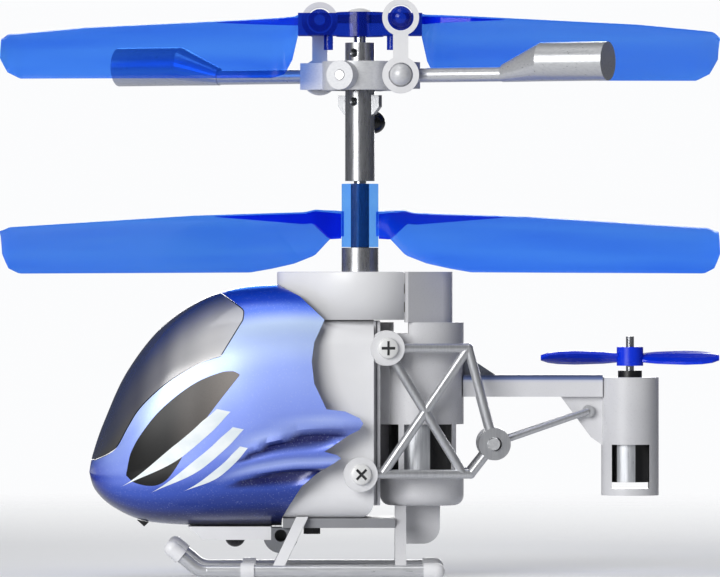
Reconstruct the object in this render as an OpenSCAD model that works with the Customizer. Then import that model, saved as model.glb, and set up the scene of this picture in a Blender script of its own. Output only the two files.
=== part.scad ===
// Palm-size coaxial remote control helicopter. Nose +X, left side +Y, mast axis on Z, skids on Z = 0.

/* [Cabin] */
// Length of the cabin from the mast axis to the nose
cabin_l = 24.5; // [21:0.5:30]
// Overall width of the nose fairing
cabin_w = 16; // [15:0.5:20]
// Wall of the fairing and the windscreen
cabin_wall = 0.6; // [0.4:0.1:0.8]
// Seam between the windscreen and the fairing
seam = 0.06; // [0.03:0.01:0.2]

/* [Fuselage] */
// Width of the fuselage halves together
body_w = 11.2; // [10:0.2:13.6]
// Height of the fuselage halves
body_h = 17.86; // [16:0.1:22]
// Height of the underside of the fuselage above the ground
body_z = 5.43; // [4.9:0.1:7]
// How far the fuselage reaches behind the mast axis
body_back = 1.24; // [1:0.1:1.6]
// Wall of the fuselage halves
body_wall = 0.6; // [0.4:0.1:0.9]
// Height of the gear case
case_h = 4.33; // [4.1:0.1:5.5]
// Wall of the gear case and of the motor barrel
case_wall = 0.4; // [0.3:0.05:0.5]

/* [Drive] */
// Gear module
gear_module = 0.2; // [0.19:0.01:0.22]
// Teeth on each main gear
gear_teeth = 48; // [44:2:50]
// Teeth on each pinion
pinion_teeth = 8; // [8:1:10]
// Face width of the main gears
gear_face = 0.9; // [0.6:0.1:1.1]
// Diameter of the main motors
motor_d = 6; // [5:0.1:6.4]
// Length of the main motors
motor_l = 12; // [10:0.5:13]
// Diameter of the motor shafts
motor_shaft_d = 0.6; // [0.5:0.05:0.7]

/* [Mast] */
// Diameter of the inner shaft
inner_d = 1.1; // [0.9:0.05:1.3]
// Wall of the outer shaft tube
outer_wall = 0.23; // [0.18:0.01:0.35]
// Diameter of the sleeve, the bush and the collar under it
sleeve_d = 3.33; // [2.8:0.1:4]
// Height of the bush above the gear case
bush_h = 2.18; // [1.8:0.1:3.2]
// Height of the lower rotor sleeve
sleeve_h = 5.72; // [5:0.1:7]
// Diameter of the upper mast tube
mast_d = 2.68; // [2.4:0.1:3.2]
// Length of the upper mast tube
mast_h = 12.5; // [11.6:0.1:15]
// Radial clearance of every running fit
fit = 0.05; // [0.02:0.01:0.08]

/* [Rotors] */
// Diameter of both main rotors
rotor_d = 65; // [54:1:78]
// Width of the blades seen from above
blade_w = 8.6; // [7:0.2:10.4]
// Thickness of the blades
blade_t = 0.42; // [0.3:0.02:0.6]
// Angle by which the rotor head is turned from the blades
head_turn = 25; // [20:1:30]
// Half of the span of the stabiliser bar
flybar_r = 24.4; // [20:0.2:29]
// Distance of the link balls from the mast along the blades
link_x = 3.66; // [3.5:0.02:4]
// Distance of the link balls from the mast across the blades
link_y = 3.9; // [3.8:0.1:4.6]

/* [Landing gear] */
// Distance between the two skid tubes
skid_track = 14; // [12:0.5:18]
// Diameter of the skid tubes
skid_d = 1.14; // [0.9:0.05:1.3]
// Diameter of the rings and caps on the skids
skid_cap_d = 1.52; // [1.4:0.05:1.8]

/* [Tail] */
// Distance of the tail rotor shaft behind the mast
tail_x = 24.43; // [22.5:0.1:30]
// Diameter of the tail rotor
tail_rotor_d = 16.14; // [13:0.2:19]
// Diameter of the tail motor housing
tail_case_d = 5.2; // [4.9:0.1:6.3]
// Diameter of the tail motor
tail_motor_d = 4; // [3.2:0.1:4.2]
// Diameter of the truss tubes
truss_d = 0.84; // [0.6:0.02:1]

/* [Charging] */
// Diameter of the hole in the charging socket
charge_bore_d = 1.1; // [0.8:0.05:1.3]
// Depth of the hole in the charging socket
charge_bore_l = 3; // [2:0.1:3.5]

/* [Hidden] */
$fn = 48;
big = 60;
body_r = body_w / 2;
body_edge = body_w - 9;
body_top = body_z + body_h;
case_top = body_top + case_h;
case_floor = 0.4;
bush_top = case_top + bush_h;
run_gap = 0.06;
sleeve_z = bush_top + run_gap;
mast_z = sleeve_z + sleeve_h + 0.26;
flybar_z = mast_z + mast_h - 3;
feather_z = mast_z + mast_h + 2.16;
inner_r = inner_d / 2;
outer_r = inner_r + fit + outer_wall;
gear_r = gear_module * gear_teeth / 2;
pinion_r = gear_module * pinion_teeth / 2;
motor_x = gear_r + pinion_r;
body_front = motor_x + 1.6;
gear_tip = gear_r + 0.9 * gear_module;
case_r = gear_tip + 0.35 + case_wall;
case_nose = motor_x + 1.9;
case_cut = 3.97;
low_gear_z = body_top + case_floor + 0.3;
high_gear_z = low_gear_z + gear_face + 0.75;
shell_r = motor_d / 2 + fit + 0.73;
motor_z = body_z + 1.9;
motor_front_z = body_z + 2.2;
shaft_r = motor_shaft_d / 2;
barrel_x = motor_x + 0.6;
barrel_r = 2.165;
truss_r = truss_d / 2;
truss_y = body_r + 0.35 + truss_r;
truss_angle = 10.8;
screw_low = [0.05, body_z + 4];
screw_high = [-2.37, body_top - 2.54];
pivot_at = [-12.06, body_z + 6.68];
boom_z = body_top - 6.96;
boom_h = 1.97;
boom_w = 2.4;
boom_back = tail_x - tail_case_d / 2 + 0.1;
tail_top = boom_z + 1.75;
tail_bottom = boom_z - 8.92;
tail_rotor_z = tail_top + 1.04;
strut_end = [-20.63 - (tail_x - 24.43), boom_z - 1.3];
pivot_y = truss_y + pivot_at[0] * tan(truss_angle);
skid_r = skid_d / 2;
cap_r = skid_cap_d / 2;
skid_y = skid_track / 2;
bend_x = 13.7;
bend_r = 2;
bend_a = 40;
nose_run = 1.3;
tray_z = body_z - 0.86;
belly_z = tray_z - 1.1;
rear_strut_x = -3.65;
charge_at = [7.14, belly_z + 0.39];
link_r = 1.66;
ball_r = 1.05;
link_t = 0.8;
ball_local = [-link_x * cos(head_turn) - link_y * sin(head_turn), link_y * cos(head_turn) - link_x * sin(head_turn)];
yoke_r = 3.4;
yoke_h = 2.6;
arm_end = -ball_local[0] + 0.65;
feather_r = 0.35;
hub_end = 5.6;

// Side outline of the cabin: nose to rear, as [x, z] for top and bottom and [x, half width, z] for the side
function cx(x) = x * cabin_l / 24.5;
function cz(z) = tray_z + 0.11 + (z - 4.68) * (body_h + 3.96) / 21.82;
top_rail = [[24.5, 9.5], [24.15, 11.2], [23.1, 14.2], [21, 18.7], [17.6, 22.9], [12.9, 25.7], [7.6, 26.5],
    [1.5, 26.2], [-3, 25.5]];
side_rail = [[24.5, 0, 9.5], [23.7, 0.33, 9.3], [21.9, 0.59, 9.4], [18.8, 0.8, 10], [14.6, 0.94, 11],
    [9.8, 0.99, 12.5], [5, 1, 13.5], [0, 1, 13.5], [-3, 1, 13.5]];
low_rail = [[24.5, 9.5], [23.95, 7.9], [22.3, 6.35], [19.4, 5.1], [15, 4.72], [10.5, 4.68], [6.5, 4.68],
    [1, 4.68], [-3, 4.68]];
cabin_steps = 14;

function spline(p, t) = let (n = len(p) - 1, i = min(floor(t), n - 1), f = t - i,
    a = p[max(i - 1, 0)], b = p[i], c = p[i + 1], d = p[min(i + 2, n)])
    0.5 * (2 * b + (c - a) * f + (2 * a - 5 * b + 4 * c - d) * f * f + (3 * b - a - 3 * c + d) * f * f * f);
function corner(v, e) = sign(v) * pow(abs(v), e);
// A ring round the cabin at t along the rails, inset by a wall
function cabin_ring(t, inset, n = 32) = let (top = spline(top_rail, t), side = spline(side_rail, t),
    low = spline(low_rail, t)) [for (k = [0:n - 1]) let (a = 360 * (k + 0.5) / n, up = sin(a) > 0,
    end = up ? top : low, s = corner(abs(sin(a)), up ? 0.8 : 0.75),
    w = max(side[1] * cabin_w / 2 - inset, 0.02))
    [cx(side[0] + (end[0] - side[0]) * s) - (t < 1 ? inset : inset * max(0, 1 - (t - 1) / 3)),
    w * corner(cos(a), 0.8),
    cz(side[2] + (end[1] - side[2]) * s) - (up ? inset : -inset) * min(1, t * 1.5) * s]];

// Closed skin over rings of equal, even length, with a strip across each end
module skin(rings) {
    n = len(rings[0]);
    m = len(rings);
    last = (m - 1) * n;
    points = [for (r = rings, p = r) p];
    sides = [for (j = [0:m - 2], k = [0:n - 1]) let (a = j * n + k, b = j * n + (k + 1) % n)
        each [[a, a + n, b], [b, a + n, b + n]]];
    ends = [for (k = [0:n / 2 - 2]) let (a = n - 1 - k)
        each [[k, k + 1, a], [k + 1, a - 1, a], [last + k + 1, last + k, last + a],
            [last + a - 1, last + k + 1, last + a]]];
    polyhedron(points, concat(sides, ends));
}
// Round bar from a to b
module bar(a, b, r) {
    d = b - a;
    translate(a) rotate([0, acos(d[2] / norm(d)), atan2(d[1], d[0])]) cylinder(r = r, h = norm(d));
}
// Cylinder along Y, centred on y, at [x, z]
module across(at, r, h, y = 0) translate([at[0], y, at[1]]) rotate([90, 0, 0]) cylinder(r = r, h = h, center = true);
// A flat outline in X and Z, made thick along Y about the middle
module slab(t, y = 0) translate([0, y + t / 2, 0]) rotate([90, 0, 0]) linear_extrude(t) children();
module up_tube(r, h, z, x = 0) translate([x, 0, z]) cylinder(r = r, h = h);
module both_sides() { children(); mirror([0, 1, 0]) children(); }
module head() rotate([0, 0, -head_turn]) children();

// ---- Cabin ----
module cabin_skin() skin(concat(
    [for (i = [0:cabin_steps]) cabin_ring(0.12 + i * 7.4 / cabin_steps, 0)],
    [for (i = [cabin_steps:-1:1]) cabin_ring(0.12 + i * 7.4 / cabin_steps, cabin_wall)]));
module rear_outline() polygon([for (p = [[cabin_l, 40], [7.6, 26.6], [5.4, 25.4], [3.18, 23.3], [4.1, 21.3],
    [4.33, 19.6], [4.1, 17.6], [3, 15.3], [1.33, 15.1], [0.04, 14.5], [-0.3, 14], [0.04, 13.45], [0.96, 13],
    [3.18, 11.5], [2.07, 11.2], [1.7, 10.9], [2.26, 10.5], [3.9, 9.5], [5.2, 8.4], [6.3, 6.7], [7.06, 5.4],
    [7.4, 0], [-12, 0], [-12, 40]]) [p[0], cz(p[1])]]);
module glass_outline() polygon([for (p = [[26, 10.75], [23.9, 10.7], [22.6, 11.3], [21.8, 12.06], [20.9, 13.7],
    [19.8, 15.4], [17.95, 17.2], [16.1, 18.5], [14.26, 19.5], [12.5, 20.1], [10.56, 23.3], [10.5, 24.07],
    [10.93, 24.5], [12.6, 25.7], [12.6, 30], [26, 30]]) [cx(p[0]), cz(p[1])]]);
module nose_fairing() color("royalblue") difference() {
    cabin_skin();
    slab(big) rear_outline();
    slab(big) offset(delta = seam) glass_outline();
    up(body_top - 5) linear_extrude(20) case_plan(-0.15);
}
module windscreen() color("dimgray") intersection() {
    cabin_skin();
    slab(big) glass_outline();
}

// ---- Fuselage ----
// Quarter of waste outside a rounded corner at the origin
module corner_waste(r) difference() {
    square(r);
    translate([r, r]) circle(r);
}
module body_solid(inset) intersection() {
    translate([-body_back + inset, 0, body_z]) rotate([90, 0, 90])
        linear_extrude(body_front + body_back - inset) difference() {
            translate([0, inset]) square([body_r - inset, body_h - 2 * inset]);
            translate([body_r - inset, inset]) mirror([1, 0]) corner_waste(body_edge);
            translate([body_r - inset, body_h - inset]) rotate(180) corner_waste(body_edge);
        }
    slab(big) difference() {
        translate([-body_back + inset, body_z]) square([big, body_h]);
        translate([-body_back + inset, body_z + inset]) corner_waste(1.5);
    }
}
module body_half() {
    difference() {
        union() {
            body_solid(0);
            across(screw_high, 1.6, body_r - 0.3 - shell_r, (body_r - 0.3 + shell_r) / 2);
            translate([screw_high[0], shell_r, screw_high[1] - 1]) cube([-screw_high[0], body_r - 0.3 - shell_r, 2]);
        }
        translate([0, -0.01, 0]) body_solid(body_wall);
        up_tube(motor_d / 2 + 0.3, big, motor_front_z, motor_x);
        up_tube(2.2, big, body_top - 2);
        for (s = [screw_low, screw_high]) across(s, 0.4, 3, body_r);
    }
}
module fuselage_left() color("whitesmoke") body_half();
module fuselage_right() color("whitesmoke") mirror([0, 1, 0]) body_half();
module bottom_tray() color("silver") difference() {
    translate([-3.17, -4.4, tray_z]) cube([10.1, 8.8, body_z - tray_z]);
    translate([2.3, -0.6, tray_z - 1]) cube([3, 1.2, big]);
}
module belly_tray() color("gainsboro") slab(7) polygon([[8, tray_z + 0.1], [8, belly_z], [14.1, belly_z],
    [15.5, tray_z + 0.1]]);
module nose_foot() color("black") slab(2.4) polygon([[cx(19.1), cz(4.98)], [cx(19.5), cz(4.6)], [cx(20.15), cz(5.2)]]);
module power_switch() color("dimgray") {
    translate([3.6, -0.55, tray_z - 0.65]) cube([1.5, 1.1, 1.2]);
    translate([3.8, -0.9, tray_z - 0.65]) cube([1.1, 1.8, 0.6]);
}

// ---- Gear case and drive ----
module case_plan(inset) hull() {
    circle(case_r - inset);
    translate([case_nose - 2.4, 0]) circle(2.4 - inset);
}
module gear_case() color("whitesmoke") difference() {
    translate([0, 0, body_top]) linear_extrude(case_h) case_plan(0);
    translate([0, 0, body_top - 1]) linear_extrude(case_h + 0.5) case_plan(case_wall);
    translate([-case_cut - 10, -10, body_top - 1]) cube([10, 20, 10]);
    up_tube(sleeve_d / 2, 5, case_top - 1);
}
module gear_plate() color("silver") difference() {
    translate([0, 0, body_top]) linear_extrude(case_floor) case_plan(case_wall);
    translate([-case_cut - 10, -10, body_top - 1]) cube([10, 20, 10]);
    up_tube(1.2, 5, body_top - 1);
    up_tube(shaft_r + 0.3, 5, body_top - 1, motor_x);
}
module lower_bush() color("goldenrod") difference() {
    up_tube(1.2, 2.4, body_top - 2);
    up_tube(inner_r + fit, 5, body_top - 3);
}
module mast_bush() color("silver") difference() {
    up_tube(sleeve_d / 2, bush_h + 0.5, case_top - 0.5);
    up_tube(outer_r + fit, 9, case_top - 3);
}
// Straight-flanked gear, its first tooth at angle first
module gear(teeth, h, bore, first) linear_extrude(h) difference() {
    r = gear_module * teeth / 2;
    polygon([for (i = [0:teeth - 1], k = [[-0.32, -1.15], [-0.11, 0.9], [0.11, 0.9], [0.32, -1.15]])
        let (a = first + 360 * (i + k[0]) / teeth, q = r + k[1] * gear_module) [q * cos(a), q * sin(a)]]);
    circle(bore);
}
module lower_gear() color("ivory") up(low_gear_z) gear(gear_teeth, gear_face, inner_r, 0);
module upper_gear() color("ivory") up(high_gear_z) gear(gear_teeth, gear_face, outer_r, 0);
module up(z) translate([0, 0, z]) children();
module front_pinion() color("goldenrod") translate([motor_x, 0, low_gear_z - 0.1])
    gear(pinion_teeth, gear_face + 0.2, shaft_r, 180 / pinion_teeth + 180);
module rear_pinion() color("goldenrod") translate([-motor_x, 0, high_gear_z - 0.1])
    gear(pinion_teeth, gear_face + 0.2, shaft_r, 180 / pinion_teeth);
module motor_can(x, z, d, l) difference() {
    union() {
        up_tube(d / 2, l, z, x);
        up_tube(d / 5, 0.5, z + l - 0.01, x);
    }
    up_tube(shaft_r + fit, l + 2, z + 2, x);
}
module front_motor() color("silver") motor_can(motor_x, motor_front_z, motor_d, motor_l);
module rear_motor() color("silver") motor_can(-motor_x, motor_z, motor_d, motor_l);
module front_motor_shaft() color("gray") up_tube(shaft_r, low_gear_z + gear_face + 0.1 - motor_front_z - 2.5,
    motor_front_z + 2.5, motor_x);
module rear_motor_shaft() color("gray") up_tube(shaft_r, high_gear_z + gear_face + 0.1 - motor_z - 2.5,
    motor_z + 2.5, -motor_x);
module barrel(inset) up(body_top - 0.24 - (inset > 0 ? 1 : 0)) linear_extrude(case_h + 0.24 + (inset > 0 ? 0.5 : 0))
    hull() {
        translate([-barrel_x, 0]) circle(barrel_r - inset);
        translate([-case_cut - 0.37, inset - 4]) square([0.3 + (inset > 0 ? 1 : 0), 8 - 2 * inset]);
    }
module motor_shell() color("whitesmoke") difference() {
    union() {
        up_tube(shell_r, body_top - 0.24 - body_z - 3.5, body_z + 3.5, -motor_x);
        barrel(0);
        translate([-motor_x, -2.4, body_z + 3.5]) cube([motor_x - body_back - fit, 4.8, body_h - 3.74]);
    }
    barrel(case_wall);
    up_tube(motor_d / 2 + fit, body_top - body_z - 1.5, body_z + 1, -motor_x);
    up_tube(2, 3, body_top - 2, -motor_x);
    for (a = [20, 100, 180, 260]) translate([-motor_x, 0, body_z + 3.53]) rotate([0, 0, a])
        translate([0, -2.2, 0]) cube([shell_r + 2, 4.4, 4.9]);
}
module motor_cup() color("whitesmoke") difference() {
    translate([-motor_x, 0, body_z + 1.08]) rotate_extrude() union() {
        square([shell_r - 0.9, 2.42]);
        translate([0, 0.9]) square([shell_r, 1.52]);
        translate([shell_r - 0.9, 0.9]) circle(0.9);
    }
    up_tube(motor_d / 2 + fit, 5, motor_z, -motor_x);
}
module battery() color("silver") translate([cx(9), -4, tray_z + 2]) cube([8, 8, 3.4]);
module circuit_board() color("darkgreen") difference() {
    translate([cx(9), -4.6, tray_z + 6.4]) cube([9, 9.2, 0.7]);
    for (y = [-3.6, 3.6]) translate([cx(9) + 1, y, tray_z]) cylinder(r = 0.4, h = 9);
}
module infrared_receiver() color("black") difference() {
    translate([11.3, 0, belly_z + 0.2]) sphere(0.93);
    translate([8, -4, belly_z]) cube(8);
}
module charging_socket() color("dimgray") difference() {
    union() {
        across(charge_at, 1.57, charge_bore_l + 0.8, 2);
        translate([charge_at[0] - 1, 2 - charge_bore_l / 2 - 0.4, charge_at[1]])
            cube([2, charge_bore_l + 0.8, tray_z - charge_at[1]]);
    }
    across(charge_at, charge_bore_d / 2, charge_bore_l, 2.4);
    translate([8, -9, belly_z]) cube(18);
    translate([-9, -9, tray_z]) cube(18);
}

// ---- Screws ----
module at_truss() translate([0, truss_y, 0]) rotate([0, 0, truss_angle]) children();
module side_screw(at, turn) translate([at[0] / cos(truss_angle), truss_r + 0.27, at[1]]) rotate([-90, turn, 0]) difference() {
    union() {
        cylinder(r = 0.9, h = 0.45);
        translate([0, 0, -2.2]) cylinder(r = 0.38, h = 2.3);
    }
    for (a = [0, 90]) rotate([0, 0, a]) translate([-0.6, -0.12, 0.22]) cube([1.2, 0.24, 1]);
}
module body_screws() color("silver") both_sides() at_truss() {
    side_screw(screw_low, 45);
    side_screw(screw_high, 0);
}
module screw_washers() color("gainsboro") both_sides() at_truss() for (s = [screw_low, screw_high])
    difference() {
        across([s[0] / cos(truss_angle), s[1]], 1.55, 0.25, truss_r + 0.14);
        across([s[0] / cos(truss_angle), s[1]], 0.38, 2, truss_r);
    }

// ---- Tail ----
module truss_bar(a, b) bar([a[0], 0, a[1]], [b[0], 0, b[1]], truss_r);
module knot(p) translate([p[0], 0, p[1]]) sphere(truss_r * 1.04);
module truss() {
    k = cos(truss_angle);
    tl = [screw_high[0] / k, screw_high[1]];
    bl = [screw_low[0] / k, screw_low[1]];
    tr = [-9.75 / k, screw_high[1]];
    br = [-9.95 / k, screw_low[1]];
    pv = [pivot_at[0] / k, pivot_at[1]];
    difference() {
        union() {
            truss_bar(tl, tr);
            truss_bar(bl, br);
            truss_bar(tr, pv);
            truss_bar(br, pv);
            truss_bar(tl, [br[0] + 0.7, br[1]]);
            truss_bar(tr, [-2 / k, bl[1]]);
            for (p = [tr, br]) knot(p);
            across(tl, 1, truss_d, 0);
            across(bl, 1, truss_d, 0);
            across(pv, 1.46, truss_d, 0);
        }
        across(tl, 0.39, 3);
        across(bl, 0.39, 3);
        across(pv, 0.64, 3);
    }
}
module truss_left() color("lightgray") at_truss() truss();
module truss_right() color("lightgray") translate([0, -truss_y, 0]) rotate([0, 0, -truss_angle]) truss();
module truss_pins() color("silver") both_sides() across(pivot_at, 0.54, truss_d + 1.5, pivot_y - 0.5);
module tail_struts() color("lightgray") both_sides() {
    eye_y = pivot_y - truss_r - 0.65;
    difference() {
        union() {
            across(pivot_at, 1, 0.6, eye_y);
            bar([pivot_at[0] - 0.75, eye_y, pivot_at[1] + 0.25], [strut_end[0], 0.95, strut_end[1]], truss_r * 0.7);
        }
        across(pivot_at, 0.6, 3, eye_y);
    }
    across(strut_end, 0.55, 0.5, 0.8);
}
module tail_boom() color("lightgray") {
    translate([-boom_back, -boom_w / 2, boom_z]) cube([boom_back - motor_x - shell_r + 0.05, boom_w, boom_h]);
    slab(1) polygon([[-boom_back, boom_z + 0.1], [-18.1, boom_z + 0.1], [1 - boom_back, boom_z - 3.7],
        [-boom_back, boom_z - 4.4]]);
    slab(0.8) polygon([[-motor_x - shell_r, boom_z + boom_h - 0.1], [-12.4, boom_z + boom_h - 0.1],
        [-motor_x - shell_r, boom_z + boom_h + 1.9]]);
}
module tail_case() color("gainsboro") difference() {
    up_tube(tail_case_d / 2, tail_top - tail_bottom, tail_bottom, -tail_x);
    up_tube(tail_motor_d / 2 + fit, tail_top - tail_bottom - 1.6, tail_bottom + 0.6, -tail_x);
    up_tube(0.6, 20, tail_bottom + 1, -tail_x);
    translate([-tail_x - 1.7, -9, tail_bottom + 0.6]) cube([3.4, 18, 4]);
}
module tail_motor() color("silver") difference() {
    up_tube(tail_motor_d / 2, tail_top - tail_bottom - 2.9, tail_bottom + 1.2, -tail_x);
    up_tube(0.36 + fit, 20, tail_bottom + 4, -tail_x);
}
module tail_bush() color("dimgray") difference() {
    up_tube(1.085, 0.61, tail_top, -tail_x);
    up_tube(0.36 + fit, 20, tail_bottom, -tail_x);
}
module tail_shaft() color("dimgray") up_tube(0.36, tail_rotor_z + 2.65 - tail_bottom - 4.5, tail_bottom + 4.5, -tail_x);
module tail_rotor() color("blue") translate([-tail_x, 0, tail_rotor_z]) {
    difference() {
        cylinder(r = 1.2, h = 1.7);
        up(-1) cylinder(r = 0.36, h = 9);
    }
    for (a = [0, 180]) rotate([0, 0, a]) skin([for (x = [1.1, 1.6, 2.4, 3.4, 5, 6.5, 7.4, 7.9, 8.07])
        let (w = lookup(x, [[1.1, 0.75], [2.4, 1.1], [5, 1.45], [6.5, 1.4], [7.4, 1.1], [8.07, 0.4]]),
            tilt = lookup(x, [[1.1, 30], [8, 22]]))
            [for (k = [0:9]) let (c = w * cos(36 * k), s = 0.24 * sin(36 * k))
                [x * tail_rotor_d / 16.14, c * cos(tilt) - s * sin(tilt), 0.72 + c * sin(tilt) + s * cos(tilt)]]]);
}

// ---- Skids ----
module skid() translate([0, skid_y, cap_r]) {
    translate([-6.6, 0, 0]) rotate([0, 90, 0]) cylinder(r = skid_r, h = bend_x + 6.6);
    translate([bend_x, 0, bend_r]) rotate([90, 0, 0]) rotate_extrude(angle = bend_a, start = -90)
        translate([bend_r, 0]) circle(skid_r);
    translate([bend_x, 0, 0]) sphere(skid_r * 1.01);
    on_nose() {
        sphere(skid_r * 1.01);
        cylinder(r = skid_r, h = nose_run + 0.8);
    }
}
module on_nose() translate([bend_x + bend_r * sin(bend_a), 0, bend_r * (1 - cos(bend_a))])
    rotate([0, 90 - bend_a, 0]) children();
module left_skid() color("silver") skid();
module right_skid() color("silver") mirror([0, 1, 0]) skid();
module skid_sleeves() color("gainsboro") both_sides() translate([0, skid_y, cap_r]) {
    translate([9.5, 0, 0]) rotate([0, 90, 0]) difference() {
        cylinder(r = cap_r, h = 1.2);
        up(-1) cylinder(r = skid_r, h = 4);
    }
    difference() {
        union() {
            translate([-6.87, 0, 0]) sphere(cap_r);
            translate([-6.87, 0, 0]) rotate([0, 90, 0]) cylinder(r = cap_r, h = 1.17);
        }
        translate([-6.6, 0, 0]) rotate([0, 90, 0]) cylinder(r = skid_r, h = 3);
    }
    difference() {
        on_nose() up(nose_run) {
            cylinder(r = cap_r - 0.04, h = 1.1);
            up(1.1) sphere(cap_r - 0.04);
        }
        on_nose() cylinder(r = skid_r, h = nose_run + 0.8);
    }
}
module strut(top, foot, w) hull() {
    translate(top - [w / 2, 0.25, 0]) cube([w, 0.5, 0.1]);
    translate(foot - [w / 2, 0.25, 0]) cube([w, 0.5, 0.1]);
}
module front_strut() strut([5.2, 4.75, body_z + 0.05], [7.3, skid_y, cap_r + skid_r - 0.2], 1.05);
module rear_strut() strut([rear_strut_x, 2.4, body_z + 1], [rear_strut_x, skid_y, cap_r + skid_r - 0.2], 1);
module front_struts() color("whitesmoke") both_sides() front_strut();
module rear_struts() color("whitesmoke") both_sides() rear_strut();
module skeg() color("lightgray") slab(0.7) {
    translate([-7.24, body_z - 0.86]) square([3.1, 1.97]);
    translate([-5.69, body_z - 2.41]) square([1.55, 2]);
    translate([-5.69, body_z - 0.86]) circle(1.55);
}

// ---- Shafts and lower rotor ----
module inner_shaft() color("dimgray") difference() {
    up_tube(inner_r, feather_z + 0.38 - body_top + 1.9, body_top - 1.9);
    translate([-2, 0, feather_z]) rotate([0, 90, 0]) cylinder(r = feather_r, h = 4);
}
module outer_shaft() color("dimgray") difference() {
    up_tube(outer_r, sleeve_z + sleeve_h - high_gear_z + 0.1, high_gear_z - 0.1);
    up_tube(inner_r + fit, big, 0);
}
module lower_sleeve() color("deepskyblue", 0.6) difference() {
    up_tube(sleeve_d / 2, sleeve_h, sleeve_z);
    up_tube(outer_r, 20, sleeve_z - 1);
}
// Blade section at x: edges at [y, z], thin and cambered
function section(x, front, back, t, n = 6) = let (
    arc = function(f, s) [x, back[0] + (front[0] - back[0]) * f,
        back[1] + (front[1] - back[1]) * f + (0.55 + s * t) * 4 * f * (1 - f) + s * 0.06])
    concat([for (k = [0:n]) arc(k / n, 0.5)], [for (k = [n:-1:0]) arc(k / n, -0.5)]);
// The root keeps the place that fits its hub or sleeve, and the span beyond it follows rotor_d
blade_root = 8;
function span_at(f) = f < blade_root ? f : blade_root + (f - blade_root) * (rotor_d / 2 - blade_root) / (32.5 - blade_root);
module blade(z, high, low, width, stations, lead) skin([for (f = stations)
    let (x = span_at(f), w = lookup(f, width) * blade_w / 8.6)
    section(x, [lead * w, z + lookup(f, high)], [-lead * w, z + lookup(f, low)], blade_t)]);
// Heights are measured from the foot of the lower sleeve
module lower_blade() blade(sleeve_z, [[1.3, 2.6], [4, 3.3], [5, 3.1], [15, 2.8], [31.6, 1.75], [32.5, 1.3]],
    [[1.3, 1], [2.6, 0.85], [4.1, -0.75], [6, -1.5], [8, -1.95], [10, -2.3], [31, -2.4], [32, -1.9], [32.5, -0.6]],
    [[1.3, 1], [2.6, 1.5], [4.1, 2.8], [7, 4], [10, 4.3], [28, 4], [31, 3.7], [32.5, 2.4]],
    [1.3, 2, 2.8, 4.1, 5.2, 7, 10, 15, 20, 25, 29, 31, 32, 32.5], 1);
module lower_blades() color("dodgerblue", 0.6) for (a = [0, 180]) rotate([0, 0, a]) lower_blade();

// ---- Rotor head ----
module mast_tube() color("lightgray") difference() {
    union() {
        up_tube(mast_d / 2, mast_h, mast_z);
        head() slab(0.7) for (m = [0, 1]) mirror([m, 0]) polygon([[0.7, flybar_z - 3.5], [1.45, flybar_z - 3.5],
            [2.02, flybar_z - 2.8], [2.02, flybar_z - 1.75], [0.7, flybar_z - 1.75]]);
    }
    up_tube(inner_r, 30, mast_z - 1);
    head() for (z = [flybar_z - 2.34, flybar_z + 2.06]) across([0, z], 0.4, 6);
    head() for (y = [-1, 1]) across([0, flybar_z], 0.44, 1, y * (inner_r + 0.7));
}
module stop_ball() color("black") difference() {
    translate([-1.27, -1.4, flybar_z - 4.14]) sphere(1.04);
    up_tube(mast_d / 2, 30, mast_z);
}
module flybar_pins() color("silver") head() for (y = [-1, 1])
    across([0, flybar_z], 0.44, 4.4 - inner_r - 0.2, y * (4.4 + inner_r + 0.2) / 2);
module flybar_yoke() color("gray") head() difference() {
    union() {
        up_tube(yoke_r, yoke_h, flybar_z - yoke_h / 2);
        across([0, flybar_z], 1.31, 8.7);
        translate([-arm_end, -0.8, flybar_z - 1.2]) cube([2 * arm_end, 1.6, 2.4]);
        for (s = [-1, 1]) {
            translate([s * ball_local[0], s * ball_local[1], flybar_z]) sphere(ball_r);
            across([s * ball_local[0], flybar_z], 0.5, ball_local[1], s * ball_local[1] / 2);
        }
    }
    up_tube(yoke_r - 1, yoke_h + 2, flybar_z - yoke_h / 2 - 1);
    across([0, flybar_z], 0.44 + fit, 20);
}
module flybar_rods() color("gray") head() for (s = [-1, 1]) translate([s * arm_end, 0, flybar_z])
    rotate([0, s * 90, 0]) cylinder(r = 0.65, h = flybar_r - arm_end - 3);
module flybar_weights() color("silver") head() for (m = [0, 1]) mirror([m, 0, 0]) difference() {
    union() {
        translate([flybar_r - 6.4, 0, flybar_z + 1.07]) rotate([0, 90, 0]) cylinder(r = 1.75, h = 6.4);
        hull() for (p = [[-6.4, 1.07, 1.75], [-10.2, 0.1, 0.8]])
            translate([flybar_r + p[0] - 0.05, 0, flybar_z + p[1]]) rotate([0, 90, 0])
                cylinder(r = p[2], h = 0.1, $fn = 32);
    }
    translate([0, 0, flybar_z]) rotate([0, 90, 0]) cylinder(r = 0.65, h = flybar_r - 3);
}
module link() {
    h = feather_z - flybar_z;
    difference() {
        union() {
            for (z = [flybar_z, feather_z]) across([-link_x, z], link_r, link_t, link_y);
            translate([-link_x - 0.69, link_y - link_t / 2, flybar_z]) cube([1.38, link_t, h]);
        }
        across([-link_x, flybar_z], ball_r + fit, 3, link_y);
        across([-link_x, feather_z], ball_r + 0.12, 3, link_y);
    }
}
module link_left() color("whitesmoke") link();
module link_right() color("whitesmoke") rotate([0, 0, 180]) link();
module feather_pin() color("silver") translate([-2, 0, feather_z]) rotate([0, 90, 0]) cylinder(r = feather_r, h = 4);
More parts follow.
